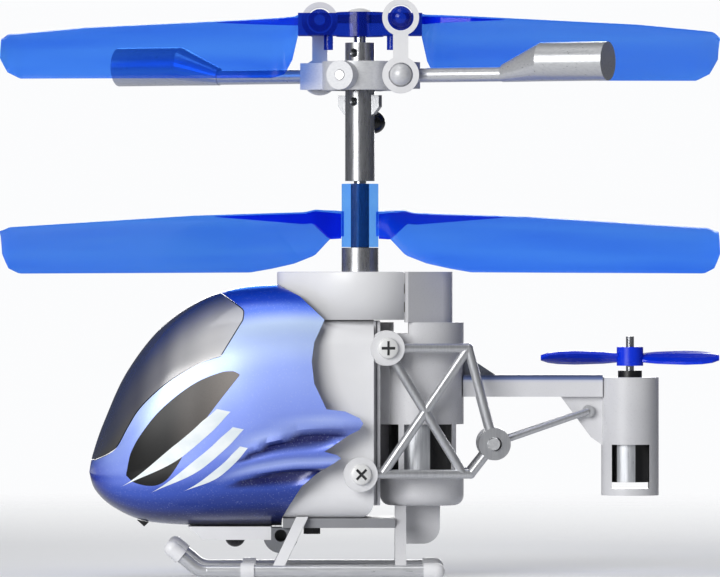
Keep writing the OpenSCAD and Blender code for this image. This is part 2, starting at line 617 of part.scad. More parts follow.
module upper_hub() color("navy") difference() {
    union() {
        up_tube(2.15, 2.2, feather_z - 1.6);
        translate([-hub_end, -1.9, feather_z - 1.5]) cube([2 * hub_end, 3.8, 2]);
        for (s = [-1, 1]) {
            translate([s * link_x, s * -link_y, feather_z]) sphere(ball_r);
            across([s * link_x, feather_z], 0.5, link_y, -s * link_y / 2);
            up_tube(0.42, 1.8, feather_z - 2.8, s * 2.85);
        }
    }
    translate([-inner_r - 0.1, -1.15, feather_z - 3]) cube([inner_d + 0.2, 2.3, 9]);
    translate([-2.05, 0, feather_z]) rotate([0, 90, 0]) cylinder(r = feather_r + fit, h = 4.1);
}
module hub_cap() color("lightgray") intersection() {
    up_tube(1.25, 0.42, feather_z + 0.6);
    up(feather_z - 0.88) sphere(1.9);
}
// Heights are measured from the feathering pin
module upper_blade() blade(feather_z, [[5.6, 0.3], [7, 0.25], [25, -0.65], [31.9, -1.3], [32.5, -1.9]],
    [[5.6, -1.6], [6.1, -3.8], [6.8, -5.1], [8, -5.45], [30.6, -5.5], [31.8, -4.9], [32.5, -3.6]],
    [[5.6, 1.9], [6.1, 2.6], [7.2, 3.6], [10, 4.3], [28, 4], [31, 3.7], [32.5, 2.4]],
    [5.6, 6.1, 6.8, 8, 10, 15, 20, 25, 29, 31, 32, 32.5], -1);
module upper_blades() color("dodgerblue", 0.6) for (a = [0, 180]) rotate([0, 0, a]) upper_blade();

nose_fairing();
windscreen();
fuselage_left();
fuselage_right();
bottom_tray();
belly_tray();
nose_foot();
power_switch();
gear_case();
gear_plate();
lower_bush();
mast_bush();
lower_gear();
upper_gear();
front_pinion();
rear_pinion();
front_motor();
rear_motor();
front_motor_shaft();
rear_motor_shaft();
motor_shell();
motor_cup();
battery();
circuit_board();
infrared_receiver();
charging_socket();
body_screws();
screw_washers();
truss_left();
truss_right();
truss_pins();
tail_struts();
tail_boom();
tail_case();
tail_motor();
tail_bush();
tail_shaft();
tail_rotor();
left_skid();
right_skid();
skid_sleeves();
front_struts();
rear_struts();
skeg();
inner_shaft();
outer_shaft();
lower_sleeve();
lower_blades();
mast_tube();
stop_ball();
flybar_pins();
flybar_yoke();
flybar_rods();
flybar_weights();
link_left();
link_right();
feather_pin();
upper_hub();
hub_cap();
upper_blades();
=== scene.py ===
"""Looks of a palm-size coaxial remote control helicopter, laid out as an add-on and run as a script."""

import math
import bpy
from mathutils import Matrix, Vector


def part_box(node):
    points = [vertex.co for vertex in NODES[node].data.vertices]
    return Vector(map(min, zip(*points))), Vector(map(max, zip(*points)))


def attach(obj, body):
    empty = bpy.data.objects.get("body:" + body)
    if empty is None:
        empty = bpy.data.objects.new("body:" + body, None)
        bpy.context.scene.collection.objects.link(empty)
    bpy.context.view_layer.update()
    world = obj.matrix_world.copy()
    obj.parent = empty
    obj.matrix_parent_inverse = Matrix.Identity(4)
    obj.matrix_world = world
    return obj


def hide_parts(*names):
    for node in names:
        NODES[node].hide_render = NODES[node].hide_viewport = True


bl_info = {
    "name": "Coaxial Helicopter Looks",
    "version": (1, 0, 0),
    "blender": (4, 5, 0),
    "location": "3D View > Sidebar > Helicopter",
    "description": "Builds the painted shell, rotors, details and studio round the packed helicopter frame",
    "category": "Object",
}

import bmesh
import bpy
from bpy.props import FloatProperty, FloatVectorProperty, PointerProperty
from mathutils import Matrix, Vector
from mathutils.bvhtree import BVHTree

MM = 0.001

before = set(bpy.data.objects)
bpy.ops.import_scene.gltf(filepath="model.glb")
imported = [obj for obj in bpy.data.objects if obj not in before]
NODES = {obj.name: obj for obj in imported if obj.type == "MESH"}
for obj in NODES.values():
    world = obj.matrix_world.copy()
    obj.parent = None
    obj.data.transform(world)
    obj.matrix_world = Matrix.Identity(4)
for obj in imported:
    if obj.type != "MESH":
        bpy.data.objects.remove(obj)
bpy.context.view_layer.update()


def low(node):
    """Lowest corner of a CAD node, in millimetres."""
    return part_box(node)[0] / MM


def high(node):
    """Highest corner of a CAD node, in millimetres."""
    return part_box(node)[1] / MM


def middle(node):
    return (low(node) + high(node)) / 2


# ---- Colours and nodes ----


def srgb(code, alpha=1.0):
    """A hex colour such as #3B6CF0 as the linear colour that a shader takes."""
    parts = [int(code[i : i + 2], 16) / 255 for i in (1, 3, 5)]
    return tuple(
        c / 12.92 if c <= 0.04045 else ((c + 0.055) / 1.055) ** 2.4 for c in parts
    ) + (alpha,)


def add(tree, kind, inputs=None, stops=None, **settings):
    """Adds one node with its settings and the stops of its colour ramp.

    Inputs go by name or by number. Each is a value, a hex colour, or the output that feeds it.
    """
    node = tree.nodes.new(kind)
    for key, value in settings.items():
        setattr(node, key, value)
    for key, value in (inputs or {}).items():
        if isinstance(value, bpy.types.NodeSocket):
            tree.links.new(value, node.inputs[key])
        else:
            node.inputs[key].default_value = srgb(value) if isinstance(value, str) else value
    if stops:
        node.color_ramp.interpolation = "EASE"
        marks = node.color_ramp.elements
        while len(marks) < len(stops):
            marks.new(0.5)
        for mark, (place, code) in zip(marks, stops):
            mark.position, mark.color = place, srgb(code)
    return node


def start(name, **shader):
    """A new material with one Principled shader, and the Object coordinates that its patterns read."""
    material = bpy.data.materials.new(name)
    material.use_nodes = True
    tree = material.node_tree
    tree.nodes.clear()
    surface = add(tree, "ShaderNodeBsdfPrincipled", shader)
    output = add(tree, "ShaderNodeOutputMaterial", {"Surface": surface.outputs["BSDF"]})
    output.is_active_output = True
    place = add(tree, "ShaderNodeTexCoord").outputs["Object"]
    return material, tree, surface, place


def grain(tree, place, size_mm, detail=2.0, stretch=(1, 1, 1)):
    """Noise whose grains are size_mm across, stretched along an axis where stretch is below 1."""
    scaled = add(tree, "ShaderNodeMapping", {"Vector": place, "Scale": stretch}).outputs[0]
    return add(
        tree, "ShaderNodeTexNoise", {"Vector": scaled, "Scale": 1 / (size_mm * MM), "Detail": detail}
    ).outputs["Fac"]


# ---- Finishes ----


def moulded_abs(name, light, dark, rough=0.38, mottling_mm=7.0):
    # Injection moulded ABS: a satin skin with faint flow mottling and a fine spark-eroded grain
    # that softens each highlight. The real grit is about 0.03 mm, drawn at 0.12 mm so that it shows.
    material, tree, surface, place = start(name, **{"IOR": 1.52, "Specular IOR Level": 0.5})
    cloud = grain(tree, place, mottling_mm, 3.0)
    grit = grain(tree, place, 0.12, 1.0)
    shade = add(tree, "ShaderNodeMapRange", {0: cloud, 1: 0.3, 2: 0.7, 3: 0.0, 4: 1.0}).outputs[0]
    tree.links.new(
        add(tree, "ShaderNodeMix", {0: shade, 6: dark, 7: light}, data_type="RGBA").outputs[2],
        surface.inputs["Base Color"],
    )
    tree.links.new(
        add(tree, "ShaderNodeMapRange", {0: grit, 1: 0.2, 2: 0.8, 3: rough - 0.06, 4: rough + 0.08}).outputs[0],
        surface.inputs["Roughness"],
    )
    tree.links.new(
        add(tree, "ShaderNodeBump", {"Height": grit, "Distance": 0.008 * MM, "Strength": 0.35}).outputs[0],
        surface.inputs["Normal"],
    )
    return material


def brushed_metal(name, light, dark, rough=0.3, lay=(0.08, 1, 1), metallic=0.85):
    # Drawn or brushed metal: hairlines 0.15 mm apart along the bar break the highlight into streaks.
    material, tree, surface, place = start(name, **{"Metallic": metallic})
    hair = grain(tree, place, 0.15, 2.0, lay)
    tree.links.new(
        add(
            tree,
            "ShaderNodeMix",
            {
                0: add(tree, "ShaderNodeMapRange", {0: hair, 1: 0.35, 2: 0.65, 3: 0, 4: 1}).outputs[0],
                6: dark,
                7: light,
            },
            data_type="RGBA",
        ).outputs[2],
        surface.inputs["Base Color"],
    )
    tree.links.new(
        add(tree, "ShaderNodeMapRange", {0: hair, 1: 0.2, 2: 0.8, 3: rough - 0.04, 4: rough + 0.05}).outputs[0],
        surface.inputs["Roughness"],
    )
    tree.links.new(
        add(tree, "ShaderNodeBump", {"Height": hair, "Distance": 0.004 * MM, "Strength": 0.18}).outputs[0],
        surface.inputs["Normal"],
    )
    return material


def clear_plastic(name, tint, skin, clearness=0.75, rough=0.14):
    # Clear tinted polycarbonate, injection moulded: it shows what is behind it through the tint, deeper
    # where two walls overlap, under a glossy skin with slow flow streaks that run out from the gate.
    material, tree, surface, place = start(
        name, **{"IOR": 1.55, "Base Color": srgb(skin), "Coat Weight": 0.25, "Coat Roughness": 0.08}
    )
    streak = grain(tree, place, 3.0, 3.0, (0.12, 1, 1))
    fine = grain(tree, place, 0.4, 2.0, (0.2, 1, 1))
    tree.links.new(
        add(tree, "ShaderNodeMapRange", {0: fine, 1: 0.2, 2: 0.8, 3: rough - 0.05, 4: rough + 0.08}).outputs[0],
        surface.inputs["Roughness"],
    )
    tree.links.new(
        add(tree, "ShaderNodeBump", {"Height": streak, "Distance": 0.05 * MM, "Strength": 0.2}).outputs[0],
        surface.inputs["Normal"],
    )
    deeper = add(
        tree,
        "ShaderNodeMix",
        {
            0: add(tree, "ShaderNodeMapRange", {0: streak, 1: 0.35, 2: 0.7, 3: 0.0, 4: 0.22}).outputs[0],
            6: tint,
            7: skin,
        },
        data_type="RGBA",
    ).outputs[2]
    through = add(tree, "ShaderNodeBsdfTransparent", {"Color": deeper})
    both = add(tree, "ShaderNodeMixShader", {0: clearness, 1: surface.outputs[0], 2: through.outputs[0]})
    output = next(n for n in tree.nodes if n.type == "OUTPUT_MATERIAL")
    tree.links.new(both.outputs[0], output.inputs["Surface"])
    return material


def pearl_lacquer(props):
    # Pearl lacquer over ABS under a clear coat: mica flakes 0.1 mm across sparkle in the base coat.
    # Light and shade are painted into the base colour round the shell: painted shade in deep blue on the belly,
    # on the crown and towards the nose, a pale lit band at the sides with a near-white painted highlight on the
    # upper shoulder, and painted shadow inside the scoops with a painted highlight on each fin's crest. The
    # paint map holds the place round the shell.
    material, tree, surface, place = start(
        "pearl_lacquer_on_abs_with_painted_light",
        **{"Metallic": 0.25, "Coat Weight": 1.0, "Coat Roughness": 0.22, "Coat IOR": 1.4},
    )
    around = add(
        tree, "ShaderNodeSeparateXYZ", {"Vector": add(tree, "ShaderNodeUVMap", uv_map="paint").outputs[0]}
    )
    scoop = add(
        tree, "ShaderNodeSeparateXYZ", {"Vector": add(tree, "ShaderNodeUVMap", uv_map="scoop").outputs[0]}
    )
    # Painted light and shade from the belly to the crown: deep blue shade underneath, a pale lit band at the
    # sides, a near-white painted highlight on the upper shoulder and deep blue shade on the crown.
    fade = add(tree, "ShaderNodeValToRGB", {"Fac": around.outputs["Y"]}, stops=(
            (0.0, "#000A4C"),
            (0.07, "#06206E"),
            (0.15, "#1B3C9C"),
            (0.27, "#3C5CC4"),
            (0.42, "#6E86E6"),
            (0.55, "#8EA4F6"),
            (0.7, "#9CB2FA"),
            (0.8, "#BBD0FF"),
            (0.865, "#C9DEFF"),
            (0.92, "#3F74EE"),
            (0.955, "#1048CC"),
            (1.0, "#0030AC"),
        )).outputs[0]
    # Painted shade at the nose: the base colour darkens towards the nose tip.
    nose = add(
        tree,
        "ShaderNodeValToRGB",
        {"Fac": around.outputs["X"]},
        stops=((0.0, "#5070B8"), (0.1, "#7088D0"), (0.3, "#FFFFFF")),
    ).outputs[0]
    with_nose_shade = add(
        tree, "ShaderNodeMix", {0: 1.0, 6: fade, 7: nose}, data_type="RGBA", blend_type="MULTIPLY"
    ).outputs[2]
    # Painted shadow inside the scoops under each fin, and a painted highlight along each fin's crest.
    shaded = add(
        tree, "ShaderNodeMix", {0: scoop.outputs["X"], 6: with_nose_shade, 7: "#000A58"}, data_type="RGBA"
    ).outputs[2]
    lit = add(
        tree, "ShaderNodeMix", {0: scoop.outputs["Y"], 6: shaded, 7: "#B4C6FF"}, data_type="RGBA"
    ).outputs[2]
    flakes = add(tree, "ShaderNodeTexVoronoi", {"Vector": place, "Scale": 1 / (0.1 * MM)})
    sparkle = add(
        tree, "ShaderNodeMapRange", {0: flakes.outputs["Color"], 1: 0.75, 2: 1.0, 3: 0.0, 4: 0.16}
    ).outputs[0]
    tree.links.new(
        add(
            tree, "ShaderNodeMix", {0: sparkle, 6: lit, 7: "#C8D6FF"}, data_type="RGBA", blend_type="SCREEN"
        ).outputs[2],
        surface.inputs["Base Color"],
    )
    tree.links.new(
        add(
            tree, "ShaderNodeMapRange", {0: flakes.outputs["Distance"], 1: 0, 2: 1, 3: 0.3, 4: 0.42}
        ).outputs[0],
        surface.inputs["Roughness"],
    )
    orange_peel = grain(tree, place, 0.9, 1.0)
    tree.links.new(
        add(
            tree, "ShaderNodeBump", {"Height": orange_peel, "Distance": 0.02 * MM, "Strength": 0.12}
        ).outputs[0],
        surface.inputs["Normal"],
    )
    tint = props.paint_tint
    surface.inputs["Coat Tint"].default_value = (tint[0], tint[1], tint[2], 1.0)
    return material


def smoked_acrylic():
    # Vacuum-formed smoked acrylic, dark smoke at the front, behind a hard glossy skin. Its light and shade are
    # painted into the colour:
    # navy painted shade along the crown, and a painted reflection that clears through warm grey to white at the
    # lower rear corner.
    material, tree, surface, place = start(
        "smoked_acrylic_glazing_with_painted_light",
        **{"IOR": 1.49, "Coat Weight": 0.4, "Coat Roughness": 0.15, "Specular IOR Level": 0.5},
    )
    across = add(
        tree, "ShaderNodeSeparateXYZ", {"Vector": add(tree, "ShaderNodeUVMap", uv_map="glazing").outputs[0]}
    )
    # Painted reflection: from dark smoke at the front, the colour clears through warm grey to white towards the
    # lower rear corner.
    smoke_to_painted_reflection = add(
        tree,
        "ShaderNodeValToRGB",
        {"Fac": across.outputs["X"]},
        stops=(
            (0.0, "#4A4A4A"), (0.14, "#464646"), (0.3, "#5A5856"), (0.45, "#8E8C8A"), (0.6, "#D4D2CE"),
            (0.78, "#F4F2EE"), (1.0, "#FFFFFF"),
        ),
    ).outputs[0]
    # Painted shade: navy along the crown of the glazing.
    crown = add(
        tree,
        "ShaderNodeValToRGB",
        {"Fac": across.outputs["Y"]},
        stops=((0.0, "#000000"), (0.45, "#000000"), (0.72, "#A8A8A8"), (1.0, "#FFFFFF")),
    ).outputs[0]
    cloud = grain(tree, place, 5.0, 2.0)
    body = add(tree, "ShaderNodeMix", {0: crown, 6: smoke_to_painted_reflection, 7: "#26345E"}, data_type="RGBA").outputs[2]
    tree.links.new(
        add(
            tree,
            "ShaderNodeMix",
            {
                0: add(tree, "ShaderNodeMapRange", {0: cloud, 1: 0.3, 2: 0.7, 3: 0.0, 4: 0.1}).outputs[0],
                6: body,
                7: "#3E4048",
            },
            data_type="RGBA",
        ).outputs[2],
        surface.inputs["Base Color"],
    )
    tree.links.new(
        add(tree, "ShaderNodeMapRange", {0: cloud, 1: 0.2, 2: 0.8, 3: 0.1, 4: 0.2}).outputs[0],
        surface.inputs["Roughness"],
    )
    return material


# ---- Mesh helpers ----


def placed(name, work, body, slot, material, *stands_for, smooth=35.0):
    """Turns a bmesh in millimetres into a piece at the origin that rides on a body."""
    bmesh.ops.transform(work, matrix=Matrix.Scale(MM, 4), verts=work.verts)
    mesh = bpy.data.meshes.new(name)
    work.to_mesh(mesh)
    work.free()
    mesh.shade_smooth()
    mesh.set_sharp_from_angle(angle=math.radians(smooth))
    piece = bpy.data.objects.new(name, mesh)
    bpy.context.scene.collection.objects.link(piece)
    piece.data.materials.append(material)
    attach(piece, body)
    if stands_for:
        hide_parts(*stands_for)
    return piece


def applied(piece, *modifiers):
    """Adds modifiers as (kind, settings) and writes their result into the piece's mesh."""
    for kind, settings in modifiers:
        modifier = piece.modifiers.new(kind, kind)
        for key, value in settings.items():
            setattr(modifier, key, value)
    graph = bpy.context.evaluated_depsgraph_get()
    mesh = bpy.data.meshes.new_from_object(piece.evaluated_get(graph), depsgraph=graph)
    piece.modifiers.clear()
    old = piece.data
    piece.data = mesh
    mesh.name = piece.name
    bpy.data.meshes.remove(old)
    return piece


def prism(outline, first, last, place=Matrix.Identity(4)):
    """A closed prism as a bmesh: a flat outline in X and Y, extruded from first to last, and set in place."""
    work = bmesh.new()
    base = work.faces.new([work.verts.new((p[0], p[1], first)) for p in outline])
    grown = bmesh.ops.extrude_face_region(work, geom=[base])
    moved = [v for v in grown["geom"] if isinstance(v, bmesh.types.BMVert)]
    bmesh.ops.translate(work, vec=(0, 0, last - first), verts=moved)
    bmesh.ops.transform(work, matrix=place, verts=work.verts)
    bmesh.ops.recalc_face_normals(work, faces=work.faces)
    return work


# Turns an outline in X and Y with its height along Z into one in X and Z with its height along Y
SIDEWAYS = Matrix(((1, 0, 0, 0), (0, 0, 1, 0), (0, 1, 0, 0), (0, 0, 0, 1)))


def cutter(work):
    """An object that only cuts, from a bmesh in millimetres."""
    bmesh.ops.transform(work, matrix=Matrix.Scale(MM, 4), verts=work.verts)
    mesh = bpy.data.meshes.new("cutter")
    work.to_mesh(mesh)
    work.free()
    blade = bpy.data.objects.new("cutter", mesh)
    bpy.context.scene.collection.objects.link(blade)
    return blade


def discard(*tools):
    for tool in tools:
        bpy.data.objects.remove(tool, do_unlink=True)


def lathe(profile, turn=Matrix.Identity(4), steps=48):
    """A turned solid as a bmesh: a profile of (radius, height), spun about Z and set in place."""
    work = bmesh.new()
    ring = [work.verts.new((r, 0, h)) for r, h in profile]
    edges = [work.edges.new(pair) for pair in zip(ring, ring[1:])]
    bmesh.ops.spin(
        work, geom=ring + edges, axis=(0, 0, 1), cent=(0, 0, 0), angle=math.tau, steps=steps, use_merge=True
    )
    bmesh.ops.remove_doubles(work, verts=work.verts, dist=0.0005)
    bmesh.ops.transform(work, matrix=turn, verts=work.verts)
    bmesh.ops.recalc_face_normals(work, faces=work.faces)
    return work


def joined(first, *others):
    """Adds the shapes of other bmeshes to the first."""
    for other in others:
        mesh = bpy.data.meshes.new("part")
        other.to_mesh(mesh)
        other.free()
        first.from_mesh(mesh)
        bpy.data.meshes.remove(mesh)
    return first


def along(points, x):
    """Straight-line reading of a table of (x, value) whose x rises or falls."""
    table = points if points[0][0] < points[-1][0] else points[::-1]
    if x <= table[0][0]:
        return table[0][1]
    for (x0, y0), (x1, y1) in zip(table, table[1:]):
        if x <= x1:
            return y0 + (y1 - y0) * (x - x0) / (x1 - x0)
    return table[-1][1]


def smooth_along(points, x):
    """Reading of a table of (x, value) with an eased curve through its points."""
    table = points if points[0][0] < points[-1][0] else points[::-1]
    x = min(max(x, table[0][0]), table[-1][0])
    i = max(k for k in range(len(table) - 1) if table[k][0] <= x or k == 0)
    before, a, b, after = table[max(i - 1, 0)], table[i], table[i + 1], table[min(i + 2, len(table) - 1)]
    width = b[0] - a[0]
    f = (x - a[0]) / width
    rise_a = (b[1] - before[1]) / max(b[0] - before[0], 1e-9) * width
    rise_b = (after[1] - a[1]) / max(after[0] - a[0], 1e-9) * width
    return (
        (2 * f**3 - 3 * f**2 + 1) * a[1]
        + (f**3 - 2 * f**2 + f) * rise_a
        + (3 * f**2 - 2 * f**3) * b[1]
        + (f**3 - f**2) * rise_b
    )


def eased(value, first, last):
    f = min(max((value - first) / (last - first), 0.0), 1.0)
    return f * f * (3 - 2 * f)


# ---- Cabin ----

# Rails of the cabin from the nose to the rear: top and bottom as (x, z), and the side as
# (x, share of half width, z)
TOP_RAIL = (
    (24.5, 9.5), (24.15, 11.2), (23.1, 14.2), (21, 18.7), (17.6, 22.9), (12.9, 25.7), (7.6, 26.5), (1.5, 26.2),
    (-3, 25.5),
)
SIDE_RAIL = (
    (24.5, 0, 9.5),
    (23.7, 0.33, 9.3),
    (21.9, 0.59, 9.4),
    (18.8, 0.8, 10),
    (14.6, 0.94, 11),
    (9.8, 0.99, 12.5),
    (5, 1, 13.5),
    (0, 1, 13.5),
    (-3, 1, 13.5),
)
LOW_RAIL = (
    (24.5, 9.5), (23.95, 7.9), (22.3, 6.35), (19.4, 5.1), (15, 4.72), (10.5, 4.68), (6.5, 4.68), (1, 4.68),
    (-3, 4.68),
)
HALF_WIDTH = 7.97
SKIN_RINGS, SKIN_AROUND = 132, 208
# How far a cutter reaches past the cabin on each side
CUT_REACH = 30
RAIL_START, RAIL_END = 0.0, 7.55
REAR_OUTLINE = (
    (30, 40), (7.6, 26.6), (5.4, 25.4), (3.18, 23.3), (4.1, 21.3), (4.33, 19.6), (4.1, 17.6), (3, 15.3),
    (1.33, 15.1), (0.04, 14.5), (-0.3, 14), (0.04, 13.45), (0.96, 13), (3.18, 11.5), (2.07, 11.2),
    (1.7, 10.9), (2.26, 10.5), (3.9, 9.5), (5.2, 8.4), (6.3, 6.7), (7.06, 5.4), (7.4, 0), (-12, 0), (-12, 40),
)
# Lower edge of the glazing from the nose to the rear, and its rear edge up to the roof
GLASS_EDGE = (
    (23.9, 10.7), (22.6, 11.3), (21.8, 12.06), (20.9, 13.7), (19.8, 15.4), (17.95, 17.2), (16.1, 18.5),
    (14.26, 19.5), (12.5, 20.1), (10.56, 23.3), (10.5, 24.07), (10.93, 24.5), (12.6, 25.7),
)
# Two swept scoops each side: the crease under each fin, and the foot of the hollow below it, as (x, z)
SCOOPS = (
    (
        ((12.2, 10.3), (9.5, 11.55), (7, 12.6), (4, 13.25), (1.0, 13.5), (-1, 13.4)),
        ((12.2, 10.0), (9.5, 10.75), (7.5, 11.25), (3.6, 11.7), (1.8, 12.5), (-1, 13.1)),
    ),
    (
        ((12.6, 8.3), (11.4, 8.75), (9.5, 9.3), (6.5, 9.8), (3.6, 9.95), (1, 10.2)),
        ((12.6, 8.1), (11.0, 8.05), (8, 8.1), (5.6, 8.35), (4.2, 9.1), (1, 9.8)),
    ),
)


def curve(a, b, c, d, f):
    """Catmull-Rom value between b and c."""
    return 0.5 * (2 * b + (c - a) * f + (2 * a - 5 * b + 4 * c - d) * f**2 + (3 * b - a - 3 * c + d) * f**3)


def reach(rail, t, part):
    """Catmull-Rom reading of one value of a rail at t."""
    last = len(rail) - 1
    i = min(int(t), last - 1)
    f = t - i
    a, b, c, d = (rail[min(max(k, 0), last)][part] for k in (i - 1, i, i + 1, i + 2))
    return curve(a, b, c, d, f)


def scoop_at(x, z):
    """Push inwards, shadow and highlight of the scoops at a place on the side, each 0 to 1."""
    push, shadow, light, swell = 0.0, 0.0, 0.0, 0.0
    for number, (crease, foot) in enumerate(SCOOPS):
        top, bottom = smooth_along(crease, x), smooth_along(foot, x)
        start_x = crease[0][0]
        length = eased(start_x - x, 0.0, 5.5)
        tall = max(top - bottom, 0.05)
        under = top - z
        if under > 0:
            inside = 1 - min(under / tall, 1.0)
            push = max(push, length * inside**0.8 * eased(under, 0.0, 0.22))
            shadow = max(
                shadow, eased(start_x - x, 0.0, 2.2) * eased(inside, 0.0, 0.5) * eased(under, 0.0, 0.16)
            )
        crown = (z - top) / (1.25 if number == 0 else 0.95)
        if crown > -0.3:
            ridge = math.exp(-(((crown - 0.75) / 0.36) ** 2))
            light = max(
                light, 0.9 * eased(start_x + 1.5 - x, 0.0, 5.0) * ridge * (1 - 0.6 * eased(3.5 - x, 0, 4))
            )
            swell = max(swell, length * ridge * eased(crown, -0.3, 0.5))
            shadow = max(shadow, 0.5 * length * math.exp(-(((crown - 0.05) / 0.3) ** 2)))
    return push - 0.3 * swell * (1 - eased(push, 0.0, 0.1)), shadow, light


def cabin(depth, rings, around):
    """The cabin's outer skin as an open-ended bmesh with its paint maps, the scoops depth mm deep."""
    work = bmesh.new()
    bmesh.ops.create_grid(work, x_segments=rings, y_segments=around, size=1.0)
    work.verts.ensure_lookup_table()
    paint, scoop, glazing = (work.loops.layers.uv.new(n) for n in ("paint", "scoop", "glazing"))
    facts = {}
    for vert in work.verts:
        share, turn = (vert.co.x + 1) / 2, (vert.co.y + 1) / 2
        t = RAIL_START + (RAIL_END - RAIL_START) * share
        angle = math.tau * (turn + 0.25)
        rise, width = math.sin(angle), math.cos(angle)
        end = TOP_RAIL if rise > 0 else LOW_RAIL
        s = abs(rise) ** (0.8 if rise > 0 else 0.75)
        side = [reach(SIDE_RAIL, t, k) for k in range(3)]
        x = side[0] + (reach(end, t, 0) - side[0]) * s
        z = side[2] + (reach(end, t, 1) - side[2]) * s
        y = max(side[1], 0.0) * HALF_WIDTH * math.copysign(abs(width) ** 0.8, width)
        push, shadow, light = scoop_at(x, z) if x < 13.5 and z < 17 and abs(y) > 3 else (0.0, 0.0, 0.0)
        y -= math.copysign(depth * push, y) if push else 0.0
        vert.co = (x, y, z)
        facts[vert] = (t / 7.5, 0.5 + 0.5 * math.copysign(s, rise), shadow, light, s if rise > 0 else 0.0)
    for face in work.faces:
        for loop in face.loops:
            t, height, shadow, light, crown = facts[loop.vert]
            x, _, z = loop.vert.co
            loop[paint].uv = (t, height)
            # The scoop map carries the painted shadow and the painted highlight of the scoops.
            loop[scoop].uv = (shadow, light)
            # The glazing map carries the place from the front to the rear and the crown, where the glazing's
            # painted reflection and painted shade lie.
            loop[glazing].uv = (min(max(1 - (x - 10.5) / 13.5 + (20 - z) * 0.006, 0), 1), crown)
    bmesh.ops.remove_doubles(work, verts=work.verts, dist=0.0008)
    bmesh.ops.recalc_face_normals(work, faces=work.faces)
    return work


def grown_outline(outline, gap):
    """The outline moved outwards by gap, each corner along the mean of its two edges' normals."""
    count = len(outline)
    area = sum(
        outline[i][0] * outline[(i + 1) % count][1] - outline[(i + 1) % count][0] * outline[i][1]
        for i in range(count)
    )
    way = 1 if area > 0 else -1
    result = []
    for i, here in enumerate(outline):
        before, after = outline[i - 1], outline[(i + 1) % count]
        a = Vector((here[0] - before[0], here[1] - before[1])).normalized()
        b = Vector((after[0] - here[0], after[1] - here[1])).normalized()
        normal = Vector((a.y + b.y, -(a.x + b.x)))
        normal = normal.normalized() * way if normal.length > 1e-6 else Vector((0, 0))
        result.append((here[0] + normal.x * gap, here[1] + normal.y * gap))
    return result


def rounded(path, per=6):
    """A finer path through the same points, for an outline that should read as a curve."""
    last = len(path) - 1
    fine = []
    for i in range(last):
        a, b, c, d = (path[min(max(k, 0), last)] for k in (i - 1, i, i + 1, i + 2))
        for step in range(per):
            f = step / per
            fine.append(tuple(curve(a[n], b[n], c[n], d[n], f) for n in (0, 1)))
    return fine + [path[last]]


def glass_outline():
    lower = rounded(GLASS_EDGE[:9]) + list(GLASS_EDGE[9:10]) + rounded(GLASS_EDGE[9:12])[1:] + [GLASS_EDGE[12]]
    return [(27, 10.75)] + lower + [(12.6, 31), (27, 31)]


class HelicopterSizes(bpy.types.PropertyGroup):
    """Sizes and colours that a user would change."""

    wall: FloatProperty(
        name="Shell wall",
        description="Wall of the painted shell and the glazing",
        default=0.6 * MM,
        min=0.3 * MM,
        max=0.9 * MM,
        precision=5,
        unit="LENGTH",
        subtype="DISTANCE",
    )
    seam: FloatProperty(
        name="Glazing seam",
        description="Gap between the glazing and the painted shell",
        default=0.09 * MM,
        min=0.03 * MM,
        max=0.3 * MM,
        precision=5,
        unit="LENGTH",
        subtype="DISTANCE",
    )
    scoop_depth: FloatProperty(
        name="Scoop depth",
        description="How far the swept scoops are pushed into the shell",
        default=0.75 * MM,
        min=0.0,
        max=1.2 * MM,
        precision=5,
        unit="LENGTH",
        subtype="DISTANCE",
    )
    blade_clearness: FloatProperty(
        name="Blade clearness",
        description="Share of a clear blade that shows what is behind it",
        default=0.75,
        min=0.3,
        max=1.0,
        subtype="FACTOR",
    )
    paint_tint: FloatVectorProperty(
        name="Clear coat tint",
        description="Tint of the clear coat over the pearl paint",
        default=(0.93, 0.95, 1.0),
        size=3,
        min=0.0,
        max=1.0,
        subtype="COLOR",
    )
    floor_colour: FloatVectorProperty(
        name="Floor",
        description="Colour of the studio floor",
        default=(0.86, 0.87, 0.89),
        size=3,
        min=0.0,
        max=1.0,
        subtype="COLOR",
    )
    key_power: FloatProperty(
        name="Key light",
        description="Power of the soft light behind the camera",
        default=5.6,
        min=0.0,
        soft_max=60.0,
        unit="POWER",
    )


def sizes():
    return bpy.context.scene.helicopter_sizes


def cut_skin(name, material, slot, keep, *cutters):
    """Cuts the thick skin with each cutter; keep is INTERSECT or DIFFERENCE."""
    props = sizes()
    work = cabin(props.scoop_depth / MM, SKIN_RINGS, SKIN_AROUND)
    skin = placed(name, work, "airframe", slot, material, smooth=40.0)
    applied(skin, ("SOLIDIFY", {"thickness": props.wall, "offset": -1.0}))
    # The wall folds a little at the scoops, and the manifold solver leaves no cutter faces behind there
    for tool in cutters:
        applied(skin, ("BOOLEAN", {"object": tool, "operation": keep, "solver": "MANIFOLD"}))
    discard(*cutters)
    skin.data.materials.clear()
    skin.data.materials.append(material)
    skin.data.shade_smooth()
    skin.data.set_sharp_from_angle(angle=math.radians(40))
    return skin


def case_outline(inset):
    """Plan of the gear case, which the shell's rear edge is trimmed to."""
    round_r, nose_r, nose_x = 5.73 - inset, 2.4 - inset, 5.1
    lean = math.acos((round_r - nose_r) / nose_x)
    front = [
        (nose_x + nose_r * math.cos(a), nose_r * math.sin(a))
        for a in (lean * (k / 8 - 1) for k in range(17))
    ]
    back = [
        (round_r * math.cos(a), round_r * math.sin(a))
        for a in (lean + (math.tau - 2 * lean) * k / 40 for k in range(41))
    ]
    return front + back


